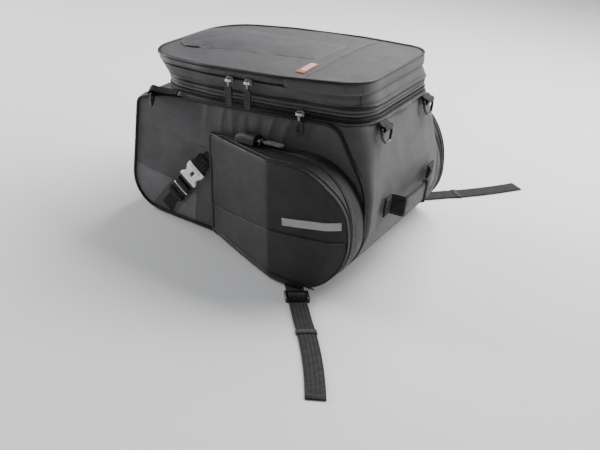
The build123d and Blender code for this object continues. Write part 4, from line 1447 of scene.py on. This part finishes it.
def slider(tag, plane, body, hides, mirror=False):
    """Zip slider: two waisted plates with a core between them, two ears and the pin."""
    shield = [
        (5.8, -3.2), (3.6, -5.0), (-1.5, -4.6), (-5.8, -3.4), (-5.8, 3.4), (-1.5, 4.6), (3.6, 5.0),
        (5.8, 3.2)
    ]
    outline = rounded(shield, [1.4, 2, 4, 1.6, 1.6, 4, 2, 1.4], 56)
    common = dict(mirror=mirror)
    prism(
        f"{tag}_back_plate", outline, 0.0, 1.2, plane, LACQUER, body, "slider_metal", 0.35, hides=hides,
        **common
    )
    prism(f"{tag}_front_plate", outline, 2.5, 4.0, plane, LACQUER, body, "slider_metal", 0.55, **common)
    core = rounded([(4.6, -1.6), (-2, -2.4), (-2, 2.4), (4.6, 1.6)], [0.8] * 4, 24)
    prism(f"{tag}_core", core, 0.8, 3.0, plane, LACQUER, body, "slider_metal", 0.2, **common)
    ear = rounded(
        [(-2.5, 3.6), (2.5, 3.6), (2.5, 6.4), (1.6, 8.4), (-1.6, 8.4), (-2.5, 6.4)], [0, 0, 1, 1.1, 1.1, 1],
        36
    )
    for number, spot in enumerate((-3.6, 3.6)):
        prism(
            f"{tag}_ear_{number}", ear, -0.8, 0.8, turned(plane, (spot, 0, 0)), BRIGHT, body,
            "slider_metal", 0.45,
            **common,
        )
    pin = placed(plane, np.linspace(-4.9, 4.9, 12), 0, PIN_LIFT)
    tube(f"{tag}_pin", pin, 0.95, plane[3], BRIGHT, body, "slider_metal", **common)


def zip_pull(tag, plane, body, hides, length, width, material, slot=0.0, mirror=False):
    """Moulded pull on a metal eye. The tab has a raised border, and a slot if it is a loop."""
    turn = np.linspace(0, 2 * pi, 30, endpoint=False)
    ring = np.stack([2.35 * np.cos(turn), 2.35 * np.sin(turn)], 1)
    hole = np.stack([1.32 * np.cos(turn), 1.32 * np.sin(turn)], 1)
    common = dict(mirror=mirror)
    prism(
        f"{tag}_eye", ring, -2.2, 2.2, turned(plane), BRIGHT, body, "slider_metal", 0.3, holes=(hole,),
        hides=hides,
        **common,
    )
    neck = rounded(
        [(-2.2, -1.9), (2.2, -1.9), (1.7, -5.5), (2.3, -11), (-2.3, -11), (-1.7, -5.5)],
        [0.4, 0.4, 3, 0.8, 0.8, 3], 50
    )
    prism(f"{tag}_neck", neck, -0.9, 0.9, plane, LACQUER, body, "slider_metal", 0.35, **common)
    half = width / 2
    tab = rounded(
        [(-half, -8), (half, -8), (half * 0.96, -length), (-half * 0.96, -length)],
        [half * 0.7, half * 0.7, half * 0.85, half * 0.85], 96,
    )
    inner = tab - loop_normals(tab[::-1])[::-1] * 1.25
    if np.abs(inner[:, 0]).max() > half:
        inner = tab + loop_normals(tab[::-1])[::-1] * 1.25
    holes = ()
    if slot:
        s = slot / 2
        holes = (rounded([(-s, -13), (s, -13), (s, 4 - length), (-s, 4 - length)], [s * 0.9] * 4, 60),)
    prism(f"{tag}_tab", tab, -1.0, 1.0, plane, material, body, "pull_rubber", 0.4, holes=holes, **common)
    if not slot:
        prism(
            f"{tag}_border", tab, -1.4, 1.4, plane, material, body, "pull_rubber", 0.45, holes=(inner,),
            **common
        )
        for number, along in enumerate(np.linspace(-13, 7 - length, 5)):
            rib = placed(plane, np.linspace(-half + 1.9, half - 1.9, 8), along, 1.0)
            tube(f"{tag}_rib_{number}", rib, 0.42, plane[3], material, body, "pull_rubber", sides=8, **common)
    else:
        rim = placed(plane, holes[0][:, 0], holes[0][:, 1], 1.0)
        tube(f"{tag}_lip", rim, 0.5, plane[3], material, body, "pull_rubber", closed=True, sides=8, **common)


def moved(plane, shift):
    return (placed(plane, *shift),) + tuple(plane[1:])


for number, place in ((1, -103.0), (2, -73.0)):
    seat = (lid_point(place, -125.6, -12.6), FORWARD, OUT, -LEFT)
    slider(f"main_slider_{number}_cast", seat, f"main_slider_{number}", (f"main_slider_{number}",))
    zip_pull(
        f"main_pull_{number}_moulded", moved(seat, (0, 0, PIN_LIFT)), f"main_pull_{number}",
        (f"main_pull_{number}",), 36, 11, RUBBER,
    )

neck_slope = unit([123, 4, 0])
neck_run = FORWARD * neck_slope[0] + LEFT * neck_slope[1]
neck_out = unit(FORWARD * neck_slope[1] - LEFT * neck_slope[0])
seat = (
    lid_point(0, -112 + 30 * 4 / 123, -46.4) + neck_out * 4.3, neck_run, np.cross(neck_out, neck_run),
    neck_out
)
slider("expansion_slider_cast", seat, "expansion_slider", ("expansion_slider",))
zip_pull(
    "expansion_pull_moulded", moved(seat, (0, 0, PIN_LIFT)), "expansion_pull", ("expansion_pull",), 28, 12,
    RUBBER,
    slot=6,
)

seat = (lid_point(-55, split_v(-55), POCKET_TOP_W + 0.7), across_run, np.cross(OUT, across_run), OUT)
for side, mirror in SIDES:
    slider(
        f"pocket_slider_{side}_cast", seat, f"pocket_slider_{side}", (f"pocket_slider_{side}",),
        mirror=mirror
    )
    zip_pull(
        f"pocket_pull_{side}_moulded", moved(seat, (0, 0, PIN_LIFT)), f"pocket_pull_{side}",
        (f"pocket_pull_{side}",), 40, 9, RUBBER_GREY, mirror=mirror,
    )

# ---------------------------------------------------------------- D-rings and their tabs

RING_PATH = [(-14.5, 0), (14.5, 0), (14.5, -8), (7, -20), (-7, -20), (-14.5, -8)]
FACE_KNEE = np.array([182.0, 0, 132])
face_slope = unit(lid_point(94, 0, SEAM_W) - FACE_KNEE)
face_out = np.array([face_slope[2], 0, -face_slope[0]])
front_ring = (
    FACE_KNEE + face_slope * 88 + face_out * 7.4 - LEFT * 70, LEFT, np.cross(face_out, LEFT), face_out,
)
REAR_TURN = radians(30)
rear_out = np.array([-cos(REAR_TURN), -sin(REAR_TURN), 0])
rear_along = np.array([sin(REAR_TURN), -cos(REAR_TURN), 0])
rear_ring = (lid_point(-232, -134.2, -45.6), rear_along, np.cross(rear_out, rear_along), rear_out)
tab_ways = {
    "front": (front_ring, unit(face_slope * 8 - face_out * 5.5), 9.7),
    "rear": (rear_ring, -rear_out, 35.0),
}
ring_loop = rounded(RING_PATH, [3, 3, 6, 7, 7, 6], 90)

for end, (plane, way, reach) in tab_ways.items():
    normal = unit(np.cross(way, plane[1]))
    if normal @ (plane[3] if end == "front" else UP) < 0:
        normal = -normal
    loop = [way * reach + normal * 1.1]
    loop += [
        way * s + normal * (
            1.1 + 3.1 * (1 - s / (reach * 0.75)) ** 2
        ) for s in np.linspace(reach * 0.75, 2.0, 8)
    ]
    loop += [4.25 * (way * cos(a) + normal * sin(a)) for a in np.linspace(radians(85), radians(275), 16)]
    loop += [
        way * s - normal * (
            1.1 + 3.1 * (1 - s / (reach * 0.75)) ** 2
        ) for s in np.linspace(2.0, reach * 0.75, 8)
    ]
    loop += [way * reach - normal * 1.1]
    loop = resample(plane[0] + np.array(loop), 70)
    ups = np.cross(plane[1], np.gradient(loop, axis=0))
    depth = min(9.0, reach - 7.0)
    box_stitch = resample([(-9.5, 0), (9.5, 0), (9.5, depth), (-9.5, depth)], 60, closed=True)
    seam = [way * (reach - 1.5 - y) + plane[1] * x + normal * 2.2 for x, y in box_stitch]
    for side, mirror in SIDES:
        sweep(
            f"dring_tab_{end}_{side}", loop, strap_section(23, 1.9), ups, WEB, "bag", "webbing",
            mirror=mirror,
            hides=("dring_tabs",) if (end, side) == ("front", "right") else (),
        )
        stitches(
            f"dring_tab_stitching_{end}_{side}", plane[0] + np.array(seam), normal, "bag", "webbing",
            pitch=2.6,
            length=1.8, radius=0.28, lift=-0.1, closed=True, mirror=mirror,
        )
        ring_points = placed(plane, ring_loop[:, 0], ring_loop[:, 1], 0)
        tube(
            f"dring_{end}_{side}_moulding", ring_points, 1.95, plane[3], PLASTIC, f"dring_{end}_{side}",
            "ring_plastic", closed=True, sides=16, mirror=mirror, hides=(f"dring_{end}_{side}",),
        )

# ---------------------------------------------------------------- grab handle

HANDLE_Z = (98.0, 128.0)
PATCH_X = 189.0
GRIP_X = 208.3
grip_corners = [
    (PATCH_X, -84), (PATCH_X, -66), (GRIP_X, -63), (GRIP_X, 12), (201.2, 46), (PATCH_X, 60), (PATCH_X, 80)
]
grip = resample(rounded(grip_corners, [0, 2.5, 3.5, 60, 30, 8, 0], closed=False), 170)
mid_z = sum(HANDLE_Z) / 2
sag = 1.2 * np.exp(-((grip[:, 1] + 26) / 26) ** 2)
grip = np.column_stack([grip, mid_z - sag])
grip_along = np.gradient(grip, axis=0)
grip_along /= np.linalg.norm(grip_along, axis=1)[:, None]
grip_out = np.cross(grip_along, UP)
grip_out /= np.linalg.norm(grip_out, axis=1)[:, None]
sweep(
    "grab_handle_webbing", grip, strap_section(30, 3.0), grip_out, WEB, "bag", "webbing",
    hides=("grab_handle",)
)
# dark strip over the grip's front run, from the near patch to past the keeper: painted shadow of the
# webbing's shaded face
held = (grip[:, 0] > 206.5) & (grip[:, 1] < 14)
sweep(
    "grab_handle_painted_shadow_strip", grip[held] + grip_out[held] * 1.7, strap_section(24, 1.6), grip_out[held], PIPING,
    "bag",
    "webbing",
)
for edge in (-12.6, 12.6):
    stitches(
        f"grab_handle_stitching_{'low' if edge < 0 else 'high'}", grip + UP * edge + grip_out * 1.5,
        grip_out, "bag",
        "webbing", radius=0.28, lift=0.0,
    )
for name, low, high in (("right", -84, -68.5), ("left", 62.5, 80)):
    box = [(y, z) for y, z in ((low + 2, -11), (high - 2, -11), (high - 2, 11), (low + 2, 11))]
    patch = [(PATCH_X + 1.7, y, mid_z + z) for y, z in resample(box, 90, closed=True)]
    cross = [(PATCH_X + 1.7, y, mid_z + z) for y, z in resample([box[0], box[2]], 30)]
    across_patch = [(PATCH_X + 1.7, y, mid_z + z) for y, z in resample([box[3], box[1]], 30)]
    for part, points, closed in (("box", patch, True), ("rise", cross, False), ("fall", across_patch, False)):
        stitches(
            f"grab_handle_patch_{name}_{part}", np.array(points), np.array([1.0, 0, 0]), "bag", "webbing",
            pitch=2.8, length=1.9, radius=0.28, lift=0.0, closed=closed,
        )
KEEPER_Y = 6.0
keeper = box_outline(GRIP_X - 3.0, -16.2, GRIP_X + 3.2, 16.2, 1.6, 80)
keeper_points = np.column_stack([keeper[:, 0], np.full(len(keeper), KEEPER_Y), keeper[:, 1] + mid_z - 0.6])
keeper_mid = keeper_points.mean(0)
keeper_out = (keeper_points - keeper_mid) * np.array([3.0, 0.0, 0.35])
sweep(
    "grab_handle_keeper", keeper_points, strap_section(7.5, 1.3), keeper_out, WEB, "bag", "webbing",
    closed=True,
)

# ---------------------------------------------------------------- rear straps and buckles

strap_across = np.cross([0.0, -1.0, 0.0], strap_run)
STRAP_LENGTH = float(np.linalg.norm(STRAP_FOOT - STRAP_TOP))
strap_base = STRAP_TOP + np.array([0, -116.2, 0])
strap_plane = (strap_base, strap_run, strap_across, -LEFT)
FEMALE_START, MALE_START = 22.0, 52.6
strap_out = np.array([0.0, -1.0, 0.0])


def strap_path(stops):
    """Centreline of webbing on the side panel from (along, height above the panel) stops."""
    s = np.array(stops, float)
    fine = resample(rounded([tuple(q) for q in s], [0] + [1.1] * (len(s) - 2) + [0], closed=False), 110)
    return placed(strap_plane, fine[:, 0], 0, fine[:, 1])


def strap_ups(path):
    return np.cross(strap_across, np.gradient(path, axis=0))


female_outline = [
    (0, -16), (9, -16), (18, -10.5), (26, -16), (30, -16), (30, 16), (26, 16), (18, 10.5), (9, 16), (0, 16),
]
female = rounded(
    female_outline, [2.5, 4.5, 6.5, 3.5, 2, 2, 3.5, 6.5, 4.5, 2.5], 150
) + np.array([FEMALE_START, 0])
window = box_outline(10, -2.5, 19, 2.5, 1.8, 40) + np.array([FEMALE_START, 0])
frame_bar = box_outline(-1.6, -15.4, 3.4, 15.4, 1.6, 60) + np.array([FEMALE_START, 0])
upper_path = strap_path([(-9, 0.9), (4, 1.1), (14, 3.4), (20.5, 4.4), (24.0, 4.4)])
return_path = strap_path([(2, 2.6), (12, 4.9), (20.5, 6.6), (22.4, 6.4)])
lower_path = strap_path(
    [(60.5, 6.7), (62.0, 6.7), (63.6, 5.8), (66.5, 2.2), (70, 1.6), (76, 1.3), (STRAP_LENGTH + 0.5, 0.9)]
)
tail_path = strap_path([(60.5, 7.0), (66, 7.1), (75, 4.6), (84, 3.2), (93, 3.3)])
ladder = box_outline(0, -14.2, 3.2, 14.2, 1.4, 60)

for side, mirror in SIDES:
    common = dict(mirror=mirror)
    male_body = f"buckle_male_{side}"
    for name, path, hides in (
        ("upper", upper_path, (f"rear_strap_upper_{side}",)), ("fold", return_path, ())
    ):
        sweep(
            f"rear_strap_{name}_{side}_webbing", path, strap_section(25, 1.7), strap_ups(path), WEB, "bag",
            "webbing",
            hides=hides, **common,
        )
    prism(
        f"buckle_female_{side}_moulding", female, 0.3, 7.0, strap_plane, SILVER, "bag", "buckle_silver", 1.3,
        holes=(window,), hides=(f"buckle_female_{side}",), **common,
    )
    prism(
        f"buckle_bar_{side}", frame_bar, 1.0, 6.4, strap_plane, ADJUSTER, "bag", "buckle_black", 1.2,
        **common
    )
    for number, along in enumerate((3.6, 6.0)):
        ridge = placed(strap_plane, FEMALE_START + along, np.linspace(-11, 11, 16), 7.0)
        tube(
            f"buckle_ridge_{side}_{number}", ridge, 0.5, -LEFT, SILVER, "bag", "buckle_silver", sides=8,
            **common
        )
    for number, (low, high) in enumerate(((-10.0, -3.4), (3.4, 10.0))):
        prong = rounded(
            [
                (MALE_START - 18, low + 1), (MALE_START + 2, low), (MALE_START + 2, high),
                (MALE_START - 18, high - 1)
            ],
            [1.5, 0.5, 0.5, 1.5], 50
        )
        prism(
            f"buckle_prong_{side}_{number}", prong, 2.9, 5.1, strap_plane, ADJUSTER, male_body,
            "buckle_black", 0.4, **common
        )
    male_outline = rounded(
        [(0, -15.5), (20, -15.5), (20, 15.5), (0, 15.5)], [2, 3, 3, 2], 100
    ) + np.array([MALE_START, 0])
    slots = tuple(
        box_outline(a - 2.2, -13.2, a + 2.2, 13.2, 0.8, 60)
        + np.array([MALE_START, 0]) for a in (6.4, 14.6)
    )
    prism(
        f"buckle_male_{side}_moulding", male_outline, 1.7, 5.6, strap_plane, ADJUSTER, male_body,
        "buckle_black", 0.9,
        holes=slots, hides=(f"buckle_male_{side}",), **common,
    )
    prism(
        f"buckle_ladder_{side}", ladder + np.array([MALE_START + 16.8, 0]), 5.0, 6.6, strap_plane, BRIGHT,
        male_body,
        "buckle_silver", 0.6, **common,
    )
    lower = sweep(
        f"rear_strap_lower_{side}_webbing", lower_path, strap_section(25, 1.7), strap_ups(lower_path), WEB,
        None,
        "webbing", hides=(f"rear_strap_lower_{side}",), **common,
    )
    sign = -1 if mirror else 1
    ends = [placed(strap_plane, s, 0, 1) * np.array([1, sign, 1]) * MM for s in (STRAP_LENGTH - 4, 76.0)]
    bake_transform(lower)
    sweep(
        f"rear_strap_tail_{side}_webbing", tail_path, strap_section(25, 1.7), strap_ups(tail_path), WEB,
        male_body,
        "webbing", **common,
    )
    loop = rounded([(-13.6, 0.2), (13.6, 0.2), (13.6, 6.0), (-13.6, 6.0)], [1.4, 1.4, 2, 2], 70)
    loop_points = placed(strap_plane, 86.0, loop[:, 0], loop[:, 1])
    loop_out = (loop_points - loop_points.mean(0)) * 0.4 + np.outer(loop[:, 1] - 3.1, strap_out) * 2
    sweep(
        f"rear_strap_keeper_{side}", loop_points, strap_section(7, 1.1), loop_out, WEB, male_body, "webbing",
        closed=True, **common,
    )

# ---------------------------------------------------------------- studio

floor_mesh = bpy.data.meshes.new("studio_floor")
floor_mesh.from_pydata([(-9, -9, 0), (9, -9, 0), (9, 9, 0), (-9, 9, 0)], [], [(0, 1, 2, 3)])
floor_mesh.materials.append(floor_material())
floor = put("studio_floor", floor_mesh)

world = bpy.data.worlds.new("studio")
world.use_nodes = True
world.node_tree.nodes["Background"].inputs["Color"].default_value = (0.93, 0.95, 1.0, 1)
world.node_tree.nodes["Background"].inputs["Strength"].default_value = 0.25
bpy.context.scene.world = world


def softbox(name, place, target, size, power):
    """Rectangular studio light aimed at a point (metres)."""
    data = bpy.data.lights.new(name, "AREA")
    data.shape = "RECTANGLE"
    data.size, data.size_y = size
    data.energy = power
    lamp = put(name, data)
    lamp.location = place
    lamp.rotation_euler = (Vector(target) - Vector(place)).to_track_quat("-Z", "Y").to_euler()


softbox("top_light", (0.25, 0.95, 1.35), (0.14, 0.05, 0.2), (1.5, 0.9), 52)
softbox("left_light", (-1.9, -0.2, 0.75), (0, 0, 0.12), (0.9, 1.0), 38)
softbox("right_light", (1.4, 1.3, 0.75), (0, 0.1, 0.2), (1.0, 0.8), 22)
